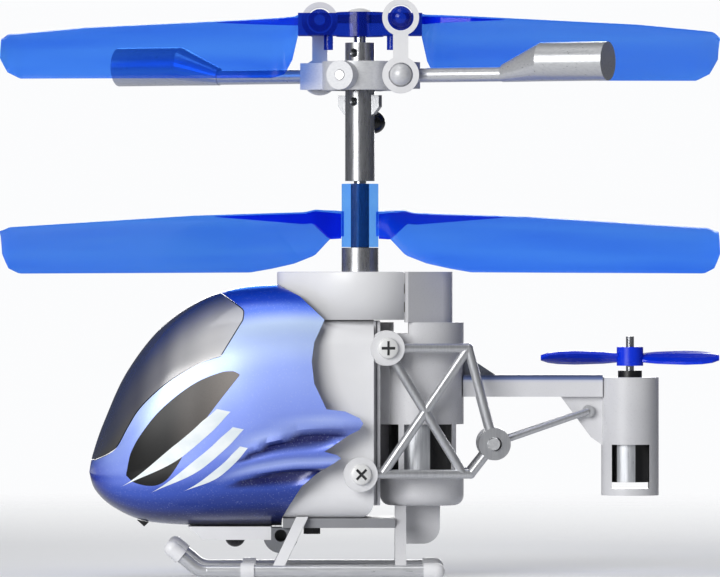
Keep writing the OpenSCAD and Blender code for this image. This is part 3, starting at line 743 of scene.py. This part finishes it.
class HELI_OT_cabin(bpy.types.Operator):
    """Builds the painted cabin shell with its swept scoops"""

    bl_idname = "heli.cabin"
    bl_label = "Painted cabin shell"

    def execute(self, context):
        props = sizes()
        opening = cutter(
            prism(grown_outline(glass_outline(), props.seam / MM), -CUT_REACH, CUT_REACH, SIDEWAYS)
        )
        rear = cutter(prism(REAR_OUTLINE, -CUT_REACH, CUT_REACH, SIDEWAYS))
        case = cutter(prism(case_outline(0.15), 18.3, 40))
        shell = cut_skin(
            "cabin_shell", pearl_lacquer(props), "fairing_paint", "DIFFERENCE", rear, opening, case
        )
        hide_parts("nose_fairing")
        return {"FINISHED"}


class HELI_OT_windscreen(bpy.types.Operator):
    """Builds the smoked glazing"""

    bl_idname = "heli.windscreen"
    bl_label = "Smoked glazing"

    def execute(self, context):
        glass = cut_skin(
            "glazing",
            smoked_acrylic(),
            "smoked_glass",
            "INTERSECT",
            cutter(prism(glass_outline(), -CUT_REACH, CUT_REACH, SIDEWAYS)),
        )
        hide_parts("windscreen")
        return {"FINISHED"}


# ---- Side graphic ----

# A generic leaf flash, its top and foot as (x, z) from the nose to the rear, and three speed stripes
FLASH_TOP = (
    (21.0, 9.5), (20.6, 11.3), (19.4, 13.4), (17.7, 15.4), (15, 17.5), (12.6, 18.55), (11.4, 18.7),
    (10.8, 18.45),
)
FLASH_FOOT = (
    (21.0, 9.3), (20.3, 8.7), (18.6, 8.4), (17.4, 8.9), (16.4, 10.2), (15.4, 12.0), (14.4, 13.6), (13, 15.5),
    (11.6, 17.3), (10.8, 18.3),
)
STRIPES = (
    ((21.6, 8.2), (12.2, 15.2), 0.62),
    ((18.9, 7.7), (10.9, 13.6), 0.5),
    ((15.9, 7.9), (10.4, 11.9), 0.36),
)


def skin_finder():
    """Finds where a line across the cabin meets the left side of its painted skin."""
    work = cabin(sizes().scoop_depth / MM, SKIN_RINGS, SKIN_AROUND)
    tree = BVHTree.FromBMesh(work)
    work.free()

    def depth_at(x, z):
        hit = tree.ray_cast(Vector((x, 30.0, z)), Vector((0, -1, 0)))
        return hit[0].y if hit[0] else 0.0

    return depth_at


def decal(name, place_at, cells, proud, find, material, slot):
    """A thin printed film on both sides: a grid whose points place_at(u, v) sets in the side view."""
    both = bmesh.new()
    for side in (1, -1):
        work = bmesh.new()
        bmesh.ops.create_grid(work, x_segments=cells[0], y_segments=cells[1], size=1.0)
        for vert in work.verts:
            x, z = place_at((vert.co.x + 1) / 2, vert.co.y)
            vert.co = (x, side * (find(x, z) + proud), z)
        bmesh.ops.recalc_face_normals(work, faces=work.faces)
        up = sum((f.normal.y for f in work.faces), 0.0)
        if up * side < 0:
            bmesh.ops.reverse_faces(work, faces=work.faces)
        joined(both, work)
    return placed(name, both, "airframe", slot, material, smooth=60.0)


def printed_flash():
    # Screen-printed ink under the clear coat: black at the nose, fading to warm taupe at the rear tip,
    # with the faint tooth of a 0.1 mm print mesh.
    material, tree, surface, place = start(
        "screen_printed_ink_fade", **{"Coat Weight": 0.15, "Coat Roughness": 0.3, "Specular IOR Level": 0.25}
    )
    x = add(tree, "ShaderNodeSeparateXYZ", {"Vector": place}).outputs["X"]
    fade = add(
        tree,
        "ShaderNodeValToRGB",
        {"Fac": add(tree, "ShaderNodeMapRange", {0: x, 1: 0.021, 2: 0.0108, 3: 0, 4: 1}).outputs[0]},
        stops=((0.0, "#050505"), (0.34, "#0C0B0A"), (0.6, "#4E4945"), (1.0, "#8A837D")),
    ).outputs[0]
    mesh = add(tree, "ShaderNodeTexVoronoi", {"Vector": place, "Scale": 1 / (0.1 * MM)}).outputs["Distance"]
    tree.links.new(
        add(
            tree,
            "ShaderNodeMix",
            {
                0: add(tree, "ShaderNodeMapRange", {0: mesh, 1: 0, 2: 1, 3: 0, 4: 0.12}).outputs[0],
                6: fade,
                7: "#2A2826",
            },
            data_type="RGBA",
        ).outputs[2],
        surface.inputs["Base Color"],
    )
    tree.links.new(
        add(tree, "ShaderNodeMapRange", {0: mesh, 1: 0, 2: 1, 3: 0.32, 4: 0.45}).outputs[0],
        surface.inputs["Roughness"],
    )
    return material


def printed_white():
    # Screen-printed opaque white ink with a cool edge and the same 0.1 mm print tooth.
    material, tree, surface, place = start(
        "screen_printed_white_ink", **{"Coat Weight": 0.6, "Coat Roughness": 0.08}
    )
    streak = grain(tree, place, 0.5, 3.0, (0.2, 1, 0.35))
    mesh = add(tree, "ShaderNodeTexVoronoi", {"Vector": place, "Scale": 1 / (0.1 * MM)}).outputs["Distance"]
    tree.links.new(
        add(
            tree,
            "ShaderNodeMix",
            {
                0: add(tree, "ShaderNodeMapRange", {0: streak, 1: 0.4, 2: 0.7, 3: 0, 4: 0.6}).outputs[0],
                6: "#F6FBFC",
                7: "#D5E4EA",
            },
            data_type="RGBA",
        ).outputs[2],
        surface.inputs["Base Color"],
    )
    tree.links.new(
        add(tree, "ShaderNodeMapRange", {0: mesh, 1: 0, 2: 1, 3: 0.3, 4: 0.45}).outputs[0],
        surface.inputs["Roughness"],
    )
    return material


class HELI_OT_side_graphic(bpy.types.Operator):
    """Prints the generic flash and speed stripes on both sides of the shell"""

    bl_idname = "heli.side_graphic"
    bl_label = "Side graphic"

    def execute(self, context):
        find = skin_finder()

        def leaf(u, v):
            x = 21.0 - 10.2 * (0.5 - 0.5 * math.cos(math.pi * u))
            top, foot = smooth_along(FLASH_TOP, x), smooth_along(FLASH_FOOT, x)
            return x, (top + foot) / 2 + (top - foot) / 2 * v

        decal("side_flash", leaf, (90, 24), 0.015, find, printed_flash(), "fairing_paint")
        white = printed_white()
        for number, (nose, tail, half) in enumerate(STRIPES):
            start_at, end_at = Vector(nose), Vector(tail)
            along_it = (end_at - start_at).normalized()
            across_it = Vector((-along_it.y, along_it.x))

            def stripe(u, v):
                wide = half * eased(u, 0.0, 0.55) * (1 - 0.25 * eased(u, 0.8, 1.0))
                lean = 0.9 * wide * v
                at = start_at + (end_at - start_at) * u
                at = at + across_it * wide * v + along_it * lean * eased(u, 0.7, 1.0)
                bow = 0.5 * math.sin(math.pi * u)
                return at.x + across_it.x * bow, at.y + across_it.y * bow

            decal(f"speed_stripe_{number + 1}", stripe, (90, 8), 0.03, find, white, "fairing_paint")
        return {"FINISHED"}


# ---- Rotor blades ----

# Each table gives (distance from the mast, value): heights of the high and the low edge above
# the base, and half the blade's width
LOWER_HIGH = ((1.3, 3.1), (4, 3.35), (5, 3.12), (15, 2.8), (31.6, 1.75), (32.5, 1.3))
LOWER_LOW = (
    (1.3, 1.0), (2.6, 0.85), (4.1, -0.75), (6, -1.5), (8, -1.95), (10, -2.3), (31, -2.4), (32, -1.9),
    (32.5, -0.6),
)
LOWER_HALF = ((1.3, 1), (2.6, 1.5), (4.1, 2.8), (7, 4), (10, 4.3), (28, 4), (31, 3.7), (32.5, 2.4))
UPPER_HIGH = ((5.6, 0.3), (7, 0.25), (25, -0.65), (31.9, -1.3), (32.5, -1.9))
UPPER_LOW = ((5.6, -1.6), (6.1, -3.8), (6.8, -5.1), (8, -5.45), (30.6, -5.5), (31.8, -4.9), (32.5, -3.6))
UPPER_HALF = ((5.6, 1.9), (6.1, 2.6), (7.2, 3.6), (10, 4.3), (28, 4), (31, 3.7), (32.5, 2.4))
# The swept rib under the high edge at the root: how deep it hangs, by distance from the mast
BLADE_TIP, RIB_END = 32.5, 13.0
ROOT_RIB = ((1.3, 2.2), (2.6, 2.4), (4.2, 1.05), (RIB_END, 0.06))


def blade(tables, base, first, leading, turn):
    """One thin cambered blade as a closed section swept from the root to the tip, and turned about the mast."""
    high_edge, low_edge, half_width = tables
    work = bmesh.new()
    bmesh.ops.create_grid(work, x_segments=110, y_segments=36, size=1.0)
    for vert in work.verts:
        x = first + (BLADE_TIP - first) * (vert.co.x + 1) / 2
        around = (vert.co.y + 1) * math.pi
        share = 0.5 - 0.5 * math.cos(around)
        half = along(half_width, x)
        lift, drop = along(high_edge, x), along(low_edge, x)
        swell = math.sin(around)
        rim = 0.07 * math.exp(-((share - 0.94) / 0.05) ** 2)
        z = drop + (lift - drop) * share + 0.55 * 4 * share * (1 - share) + swell * (0.19 + rim)
        vert.co = (x, leading * half * (2 * share - 1), base + z)
    bmesh.ops.remove_doubles(work, verts=work.verts, dist=0.0005)
    rims = [e for e in work.edges if e.is_boundary]
    bmesh.ops.holes_fill(work, edges=rims, sides=0)
    bmesh.ops.rotate(work, verts=work.verts, cent=(0, 0, 0), matrix=Matrix.Rotation(turn, 3, "Z"))
    bmesh.ops.recalc_face_normals(work, faces=work.faces)
    return work


def root_rib(base, high_edge, first, leading, half_width, turn, deep):
    """The stiffening rib that hangs under a blade's high edge near the root."""
    work = bmesh.new()
    bmesh.ops.create_grid(work, x_segments=40, y_segments=4, size=1.0)
    for vert in work.verts:
        x = first + (RIB_END - first) * (vert.co.x + 1) / 2
        down = (1 - vert.co.y) / 2
        top = along(high_edge, x) - 0.12
        vert.co = (x, leading * (along(half_width, x) - 0.25), base + top - deep * along(ROOT_RIB, x) * down)
    bmesh.ops.recalc_face_normals(work, faces=work.faces)
    bmesh.ops.solidify(work, geom=work.faces[:], thickness=0.3)
    bmesh.ops.rotate(work, verts=work.verts, cent=(0, 0, 0), matrix=Matrix.Rotation(turn, 3, "Z"))
    bmesh.ops.recalc_face_normals(work, faces=work.faces)
    return work


class HELI_OT_blades(bpy.types.Operator):
    """Builds both pairs of clear blue rotor blades with their root ribs"""

    bl_idname = "heli.blades"
    bl_label = "Rotor blades"

    def execute(self, context):
        base_low, base_high = low("lower_sleeve").z, middle("feather_pin").z
        clear = clear_plastic("clear_polycarbonate_blade", "#95C8FF", "#1F6CF2", sizes().blade_clearness)
        lower, upper = (LOWER_HIGH, LOWER_LOW, LOWER_HALF), (UPPER_HIGH, UPPER_LOW, UPPER_HALF)
        for name, body, node, tables, base, first, leading in (
            ("lower_rotor_blades", "lower_rotor", "lower_blades", lower, base_low, 1.45, 1),
            ("upper_rotor_blades", "upper_rotor", "upper_blades", upper, base_high, 5.6, -1),
        ):
            pair = joined(bmesh.new(), *(blade(tables, base, first, leading, turn) for turn in (0, math.pi)))
            placed(name, pair, body, "blade_plastic", clear, node, smooth=50.0)
        deep = clear_plastic("clear_polycarbonate_rib", "#5C8CFF", "#0A34E8", 0.7)
        ribs = [root_rib(base_low, LOWER_HIGH, 1.7, 1, LOWER_HALF, turn, 1.0) for turn in (0, math.pi)]
        placed("lower_root_ribs", joined(bmesh.new(), *ribs), "lower_rotor", "blade_plastic", deep, smooth=30.0)
        ribs = [root_rib(base_high, UPPER_HIGH, 5.6, -1, UPPER_HALF, turn, 0.8) for turn in (0, math.pi)]
        placed("upper_root_ribs", joined(bmesh.new(), *ribs), "upper_rotor", "blade_plastic", deep, smooth=30.0)
        return {"FINISHED"}


# ---- Screws, housing and frame details ----

# Each side frame splays by TRUSS_TURN from TRUSS_Y, and a washer's top stands WASHER_TOP off it
TRUSS_TURN, TRUSS_Y, WASHER_TOP = math.radians(10.8), 6.37, 0.42 + 0.27
SCREW_LOW, SCREW_HIGH = (0.05, 9.43), (-2.37, 20.75)
PAN_HEAD = (
    (0, -2.2), (0.38, -2.2), (0.38, 0), (0.9, 0), (0.94, 0.06), (0.94, 0.2), (0.88, 0.33), (0.74, 0.41),
    (0, 0.45),
)


def screw_places():
    """Where the four side screws stand, and how far each cross is turned."""
    for side in (1, -1):
        for (x, z), turn in ((SCREW_LOW, 45), (SCREW_HIGH, 0)):
            local = Vector((x / math.cos(TRUSS_TURN), WASHER_TOP, z))
            about = Matrix.Rotation(TRUSS_TURN * side, 4, "Z")
            centre = Vector((0, TRUSS_Y * side, 0)) + about @ Vector((local.x, local.y * side, local.z))
            upright = Matrix.Rotation(math.radians(-90 * side), 4, "X")
            yield Matrix.Translation(centre) @ about @ upright @ Matrix.Rotation(math.radians(turn), 4, "Z")


def plus_outline(arm, half):
    corner = ((arm, -half), (arm, half), (half, half))
    return [
        (x * math.cos(a) - y * math.sin(a), x * math.sin(a) + y * math.cos(a))
        for a in (k * math.pi / 2 for k in range(4))
        for x, y in corner
    ]


class HELI_OT_screws(bpy.types.Operator):
    """Builds the four cross-head screws of the side frames"""

    bl_idname = "heli.screws"
    bl_label = "Cross-head screws"

    def execute(self, context):
        # Bright-nickelled pan heads with a stamped cross recess 0.26 mm deep.
        material = moulded_abs("barrelled_nickel_screw", "#F0F0EE", "#E4E4E3", 0.3, 1.2)
        # The dark floor of each cross recess is painted shade: a dark sheet where the recess lies in shadow.
        recess = moulded_abs("cross_recess_painted_shade", "#3C3D3F", "#2C2D2F", 0.5, 1.0)
        heads = [lathe(PAN_HEAD, place, steps=40) for place in screw_places()]
        piece = placed(
            "cross_head_screws", joined(bmesh.new(), *heads), "airframe", "screw_steel", material, smooth=30.0
        )
        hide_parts("body_screws")
        crosses = [prism(plus_outline(0.64, 0.13), 0.18, 1.2, place) for place in screw_places()]
        tool = cutter(joined(bmesh.new(), *crosses))
        applied(piece, ("BOOLEAN", {"object": tool, "operation": "DIFFERENCE", "solver": "EXACT"}))
        discard(tool)
        piece.data.materials.clear()
        piece.data.materials.append(material)
        piece.data.set_sharp_from_angle(angle=math.radians(30))
        # Painted shade: a dark floor set at the bottom of each cross.
        floors = [prism(plus_outline(0.63, 0.12), 0.12, 0.2, place) for place in screw_places()]
        placed(
            "cross_recess_shade_floors", joined(bmesh.new(), *floors), "airframe", "screw_steel", recess, smooth=30.0
        )
        return {"FINISHED"}


class HELI_OT_gear_housing(bpy.types.Operator):
    """Builds the smooth gear housing and the grooved flanges behind the fuselage"""

    bl_idname = "heli.gear_housing"
    bl_label = "Gear housing and flanges"

    def execute(self, context):
        pale = moulded_abs("moulded_abs_gear_housing", "#EDEDEE", "#E4E4E6")
        foot, top = low("gear_case").z, high("gear_case").z
        work = prism(case_outline(0.0), foot, top)
        cut = bmesh.ops.bisect_plane(
            work,
            geom=work.verts[:] + work.edges[:] + work.faces[:],
            plane_co=(low("gear_case").x, 0, 0),
            plane_no=(-1, 0, 0),
            clear_outer=True,
        )
        bmesh.ops.contextual_create(
            work, geom=[g for g in cut["geom_cut"] if isinstance(g, bmesh.types.BMEdge)]
        )
        bmesh.ops.recalc_face_normals(work, faces=work.faces)
        rim = [e for e in work.edges if all(abs(v.co.z - top) < 0.01 for v in e.verts)]
        bmesh.ops.bevel(work, geom=rim, affect="EDGES", offset=0.12, segments=3, profile=0.5, material=-1)
        under = [f for f in work.faces if all(abs(v.co.z - foot) < 0.01 for v in f.verts)]
        bmesh.ops.delete(work, geom=under, context="FACES_ONLY")
        housing = placed("gear_housing", work, "airframe", "grey_plastic", pale, "gear_case", smooth=30.0)
        ring = [(1.25 * math.cos(k * math.tau / 48), 1.25 * math.sin(k * math.tau / 48)) for k in range(48)]
        tool = cutter(prism(ring, top - 1.5, top + 1))
        applied(
            housing,
            ("SOLIDIFY", {"thickness": 0.4 * MM, "offset": -1.0}),
            ("BOOLEAN", {"object": tool, "operation": "DIFFERENCE", "solver": "EXACT"}),
        )
        discard(tool)
        housing.data.materials.clear()
        housing.data.materials.append(pale)
        grey = moulded_abs("moulded_abs_flange_grey", "#C8C8CB", "#BCBCC0", 0.3)
        section = (
            (-1.22, 4.75), (-1.42, 4.75), (-1.42, 4.3), (-1.56, 4.3), (-1.56, 4.75), (-1.82, 4.75),
            (-1.82, 3.55), (-1.22, 3.55),
        )
        flanges = [prism([(x, y * side) for x, y in section], 6.6, 23.2) for side in (1, -1)]
        work = joined(bmesh.new(), *flanges)
        ends = [e for e in work.edges if abs(e.verts[0].co.z - e.verts[1].co.z) < 0.01]
        bmesh.ops.bevel(work, geom=ends, affect="EDGES", offset=0.06, segments=2, profile=0.5, material=-1)
        placed("rear_flanges", work, "airframe", "grey_plastic", grey, smooth=30.0)
        return {"FINISHED"}


def cad_finishes():
    """A finish for every CAD node that still shows."""
    pale = moulded_abs("moulded_abs_pale_grey", "#EDEDEE", "#E4E4E6")
    frame_grey = moulded_abs("moulded_abs_mid_grey", "#D6D6D8", "#CBCBCE", 0.3)
    boom = boom_plastic()
    tray = moulded_abs("moulded_abs_shadow_grey", "#8E8F93", "#808185", 0.42)
    black = moulded_abs("moulded_abs_black", "#17181A", "#0E0F10", 0.3, 4.0)
    socket = moulded_abs("moulded_abs_socket_grey", "#77797D", "#6A6C70", 0.36, 3.0)
    tube = brushed_metal("drawn_mast_tube", "#B4B5B7", "#A9AAAD", 0.28, (1, 1, 0.1), 0.85)
    yoke = brushed_metal("satin_cast_yoke", "#D8D9DB", "#CFD0D3", 0.36, (0.4, 1, 1), 0.15)
    rear_can = motor_can_with_painted_shade("main_motor_can_with_painted_shade", -6.26, -3.9)
    tail_can = motor_can_with_painted_shade("tail_motor_can_with_painted_shade", -24.8, -23.26)
    acetal = moulded_abs("moulded_acetal_natural", "#E4DCC2", "#D8CFB2", 0.42, 3.0)
    steel = brushed_metal("ground_shaft_steel", "#D3D5D8", "#C9CBCF", 0.18, (1, 1, 0.08), 1.0)
    satin = brushed_metal("satin_chromed_tube", "#D2D3D5", "#C8C9CC", 0.32, (1, 1, 0.1), 0.7)
    lengthwise = brushed_metal("satin_chromed_bar", "#D4D5D7", "#CACBCE", 0.3, (0.1, 1, 1), 0.55)
    screw = brushed_metal("nickel_plated_screw", "#E2E3E4", "#D9DADC", 0.32, (1, 1, 1), 0.8)
    brass = brushed_metal("turned_brass", "#D9B25C", "#C49A45", 0.25, (1, 1, 0.3), 1.0)
    can = brushed_metal("drawn_motor_can", "#CFD1D4", "#C2C4C8", 0.28, (1, 1, 0.06), 0.9)
    dark_tube = brushed_metal("blackened_mast_tube", "#4C5058", "#3A3D45", 0.25, (1, 1, 0.08), 0.7)
    rubber = moulded_abs("moulded_black_rubber", "#101113", "#08090A", 0.28, 2.0)
    foil = brushed_metal("aluminium_cell_foil", "#C6C8CC", "#A9ABB0", 0.35, (1, 1, 1), 0.9)
    board = moulded_abs("glass_fibre_board_green", "#1E6B45", "#15563A", 0.4, 1.5)
    clear = clear_plastic("clear_polycarbonate_sleeve", "#AEDBFF", "#2F7CF6", 0.85)
    hub = clear_plastic("clear_polycarbonate_hub", "#5A84E0", "#0A2AA8", 0.6)
    tail_blue = clear_plastic("tinted_polycarbonate_tail", "#2A50E8", "#0538EE", 0.12, 0.24)
    return {
        pale: (
            "fuselage_left", "fuselage_right", "gear_case", "gear_plate", "belly_tray", "screw_washers",
            "hub_cap", "link_left", "link_right", "front_struts", "skid_sleeves",
        ),
        frame_grey: ("motor_shell", "motor_cup", "tail_case", "rear_struts", "skeg"),
        boom: ("tail_boom",),
        tray: ("bottom_tray",),
        socket: ("charging_socket",),
        black: ("nose_foot", "power_switch", "infrared_receiver", "tail_bush"),
        acetal: ("lower_gear", "upper_gear"),
        steel: ("front_motor_shaft", "rear_motor_shaft", "tail_shaft", "inner_shaft", "feather_pin"),
        tube: ("mast_bush", "mast_tube"),
        satin: ("truss_left", "truss_right", "tail_struts"),
        yoke: ("flybar_yoke",),
        lengthwise: ("left_skid", "right_skid", "flybar_rods", "flybar_weights"),
        screw: ("body_screws", "truss_pins", "flybar_pins"),
        brass: ("lower_bush", "front_pinion", "rear_pinion"),
        can: ("front_motor",),
        rear_can: ("rear_motor",),
        tail_can: ("tail_motor",),
        dark_tube: ("outer_shaft",),
        rubber: ("stop_ball",),
        foil: ("battery",),
        board: ("circuit_board",),
        clear: ("lower_sleeve",),
        hub: ("upper_hub",),
        tail_blue: ("tail_rotor",),
    }


def motor_can_with_painted_shade(name, first, last):
    # A drawn steel motor can whose sides are painted black as painted shade, leaving a bare strip that catches
    # the light as a painted highlight.
    material = brushed_metal(name, "#C9CBCE", "#BABCC0", 0.3, (1, 1, 0.06), 0.6)
    tree = material.node_tree
    surface = next(n for n in tree.nodes if n.type == "BSDF_PRINCIPLED")
    steel = surface.inputs["Base Color"].links[0].from_socket
    place = next(n for n in tree.nodes if n.type == "TEX_COORD").outputs["Object"]
    x = add(tree, "ShaderNodeSeparateXYZ", {"Vector": place}).outputs["X"]
    centre, half = (first + last) / 2 * MM, (last - first) / 2 * MM
    off = add(
        tree,
        "ShaderNodeMath",
        {0: add(tree, "ShaderNodeMath", {0: x, 1: centre}, operation="SUBTRACT").outputs[0]},
        operation="ABSOLUTE",
    ).outputs[0]
    # Painted shade: black either side of the strip, by the distance from its middle along X.
    painted_shade_mask = add(tree, "ShaderNodeMapRange", {0: off, 1: half, 2: half + 0.08 * MM, 3: 0, 4: 1}).outputs[0]
    tree.links.new(
        add(tree, "ShaderNodeMix", {0: painted_shade_mask, 6: steel, 7: "#050506"}, data_type="RGBA").outputs[2],
        surface.inputs["Base Color"],
    )
    tree.links.new(
        add(tree, "ShaderNodeMapRange", {0: painted_shade_mask, 1: 0, 2: 1, 3: 0.6, 4: 0.0}).outputs[0],
        surface.inputs["Metallic"],
    )
    return material


def boom_plastic():
    # The boom's moulded ABS with a sprayed blue-grey band along its top flange and a pale web below it.
    material = moulded_abs("moulded_abs_boom_with_sprayed_band", "#E2E2E4", "#D4D4D7", 0.3)
    tree = material.node_tree
    surface = next(n for n in tree.nodes if n.type == "BSDF_PRINCIPLED")
    plastic = surface.inputs["Base Color"].links[0].from_socket
    place = next(n for n in tree.nodes if n.type == "TEX_COORD").outputs["Object"]
    height = add(tree, "ShaderNodeSeparateXYZ", {"Vector": place}).outputs["Z"]
    crown = low("tail_boom").z + 6.37
    band = add(
        tree,
        "ShaderNodeValToRGB",
        {
            "Fac": add(
                tree,
                "ShaderNodeMapRange",
                {0: height, 1: (crown - 0.75) * MM, 2: (crown + 0.05) * MM, 3: 0, 4: 1},
            ).outputs[0]
        },
        stops=((0.0, "#FFFFFF"), (0.25, "#F4F6FF"), (0.5, "#7C8FC4"), (0.8, "#4E5C86"), (1.0, "#777B86")),
    ).outputs[0]
    tree.links.new(
        add(
            tree, "ShaderNodeMix", {0: 1.0, 6: plastic, 7: band}, data_type="RGBA", blend_type="MULTIPLY"
        ).outputs[2],
        surface.inputs["Base Color"],
    )
    return material


class HELI_OT_cad_finishes(bpy.types.Operator):
    """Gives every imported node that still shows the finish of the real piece"""

    bl_idname = "heli.cad_finishes"
    bl_label = "Finishes of the packed pieces"

    def execute(self, context):
        for material, names in cad_finishes().items():
            for name in names:
                NODES[name].data.materials.clear()
                NODES[name].data.materials.append(material)
        return {"FINISHED"}


# ---- Studio ----


# In metres: the floor's radius, and where it starts and ends fading into the room
FLOOR_RADIUS, FLOOR_FADE = 0.32, (0.1, 0.3)
# The view's width at the mast, and the height of its middle
VIEW_WIDTH, VIEW_HEIGHT = 65.16 * MM, 26.11 * MM


def soft_light(name, place, aim, size, power, colour=(1, 1, 1)):
    data = bpy.data.lights.new(name, "AREA")
    data.shape = "RECTANGLE"
    data.size, data.size_y = size
    data.energy = power
    data.color = colour
    lamp = bpy.data.objects.new(name, data)
    bpy.context.scene.collection.objects.link(lamp)
    lamp.location = place
    lamp.rotation_euler = (Vector(aim) - Vector(place)).to_track_quat("-Z", "Y").to_euler()
    return lamp


def studio_floor(props):
    # Matt painted studio board: pale, with a faint roller stipple 2 mm across, fading out into the room.
    material, tree, surface, place = start("matt_studio_board", **{"Roughness": 0.7, "Specular IOR Level": 0.2})
    colour = tuple(props.floor_colour) + (1.0,)
    stipple = grain(tree, place, 2.0, 2.0)
    tree.links.new(
        add(
            tree,
            "ShaderNodeMix",
            {
                0: add(tree, "ShaderNodeMapRange", {0: stipple, 1: 0.3, 2: 0.7, 3: 0, 4: 0.06}).outputs[0],
                6: colour,
                7: "#DADCE0",
            },
            data_type="RGBA",
        ).outputs[2],
        surface.inputs["Base Color"],
    )
    tree.links.new(
        add(tree, "ShaderNodeBump", {"Height": stipple, "Distance": 0.03 * MM, "Strength": 0.1}).outputs[0],
        surface.inputs["Normal"],
    )
    away = add(tree, "ShaderNodeVectorMath", {0: place}, operation="LENGTH").outputs["Value"]
    tree.links.new(
        add(
            tree, "ShaderNodeMapRange", {0: away, 1: FLOOR_FADE[0], 2: FLOOR_FADE[1], 3: 1.0, 4: 0.0}
        ).outputs[0],
        surface.inputs["Alpha"],
    )
    work = bmesh.new()
    bmesh.ops.create_circle(work, cap_ends=True, segments=96, radius=FLOOR_RADIUS)
    mesh = bpy.data.meshes.new("studio_floor")
    work.to_mesh(mesh)
    work.free()
    floor = bpy.data.objects.new("studio_floor", mesh)
    mesh.materials.append(material)
    bpy.context.scene.collection.objects.link(floor)


class HELI_OT_studio(bpy.types.Operator):
    """Sets the pale floor, the soft lights and the camera at the left side"""

    bl_idname = "heli.studio"
    bl_label = "Studio and camera"

    def execute(self, context):
        props = sizes()
        scene = context.scene
        studio_floor(props)
        soft_light("key_softbox", (0.42, 0.66, 0.26), (0, 0, 0.025), (0.5, 0.42), props.key_power)
        soft_light("top_softbox", (0.1, 0.15, 0.6), (0, 0, 0.02), (0.3, 0.3), props.key_power * 0.12)
        soft_light("rear_softbox", (-0.15, -0.75, 0.25), (0, 0, 0.03), (0.5, 0.4), props.key_power * 0.6)
        room = bpy.data.worlds.new("studio_room")
        room.use_nodes = True
        tree = room.node_tree
        tree.nodes.clear()
        seen = add(tree, "ShaderNodeBackground", {"Color": (0.97, 0.975, 0.985, 1), "Strength": 1.0})
        lit = add(tree, "ShaderNodeBackground", {"Color": (0.9, 0.93, 1.0, 1), "Strength": 0.09})
        eye = add(tree, "ShaderNodeLightPath").outputs["Is Camera Ray"]
        both = add(tree, "ShaderNodeMixShader", {0: eye, 1: lit.outputs[0], 2: seen.outputs[0]})
        add(tree, "ShaderNodeOutputWorld", {"Surface": both.outputs[0]})
        scene.world = room
        scene.view_settings.view_transform = "Standard"
        data = bpy.data.cameras.new("side_camera")
        data.lens, data.sensor_width = 400.0, 36.0
        data.clip_start, data.clip_end = 0.01, 20.0
        camera = bpy.data.objects.new("side_camera", data)
        scene.collection.objects.link(camera)
        camera.location = (0.0, VIEW_WIDTH * data.lens / data.sensor_width, VIEW_HEIGHT)
        camera.rotation_euler = (math.radians(90), 0.0, math.radians(180))
        scene.camera = camera
        return {"FINISHED"}


class HELI_PT_panel(bpy.types.Panel):
    """Lists the sizes and the pieces of the helicopter"""

    bl_idname = "HELI_PT_panel"
    bl_label = "Helicopter"
    bl_space_type = "VIEW_3D"
    bl_region_type = "UI"
    bl_category = "Helicopter"

    def draw(self, context):
        column = self.layout.column()
        for name in HelicopterSizes.__annotations__:
            column.prop(context.scene.helicopter_sizes, name)
        for operator in OPERATORS:
            column.operator(operator.bl_idname)


OPERATORS = (
    HELI_OT_cabin,
    HELI_OT_windscreen,
    HELI_OT_side_graphic,
    HELI_OT_blades,
    HELI_OT_screws,
    HELI_OT_gear_housing,
    HELI_OT_cad_finishes,
    HELI_OT_studio,
)
CLASSES = (HelicopterSizes, *OPERATORS, HELI_PT_panel)


def register():
    for one in CLASSES:
        bpy.utils.register_class(one)
    bpy.types.Scene.helicopter_sizes = PointerProperty(type=HelicopterSizes)


def unregister():
    del bpy.types.Scene.helicopter_sizes
    for one in reversed(CLASSES):
        bpy.utils.unregister_class(one)


def main():
    register()
    for operator in OPERATORS:
        group, name = operator.bl_idname.split(".")
        if getattr(getattr(bpy.ops, group), name)() != {"FINISHED"}:
            raise RuntimeError(f"{operator.bl_idname} did not finish")


if __name__ == "__main__":
    main()
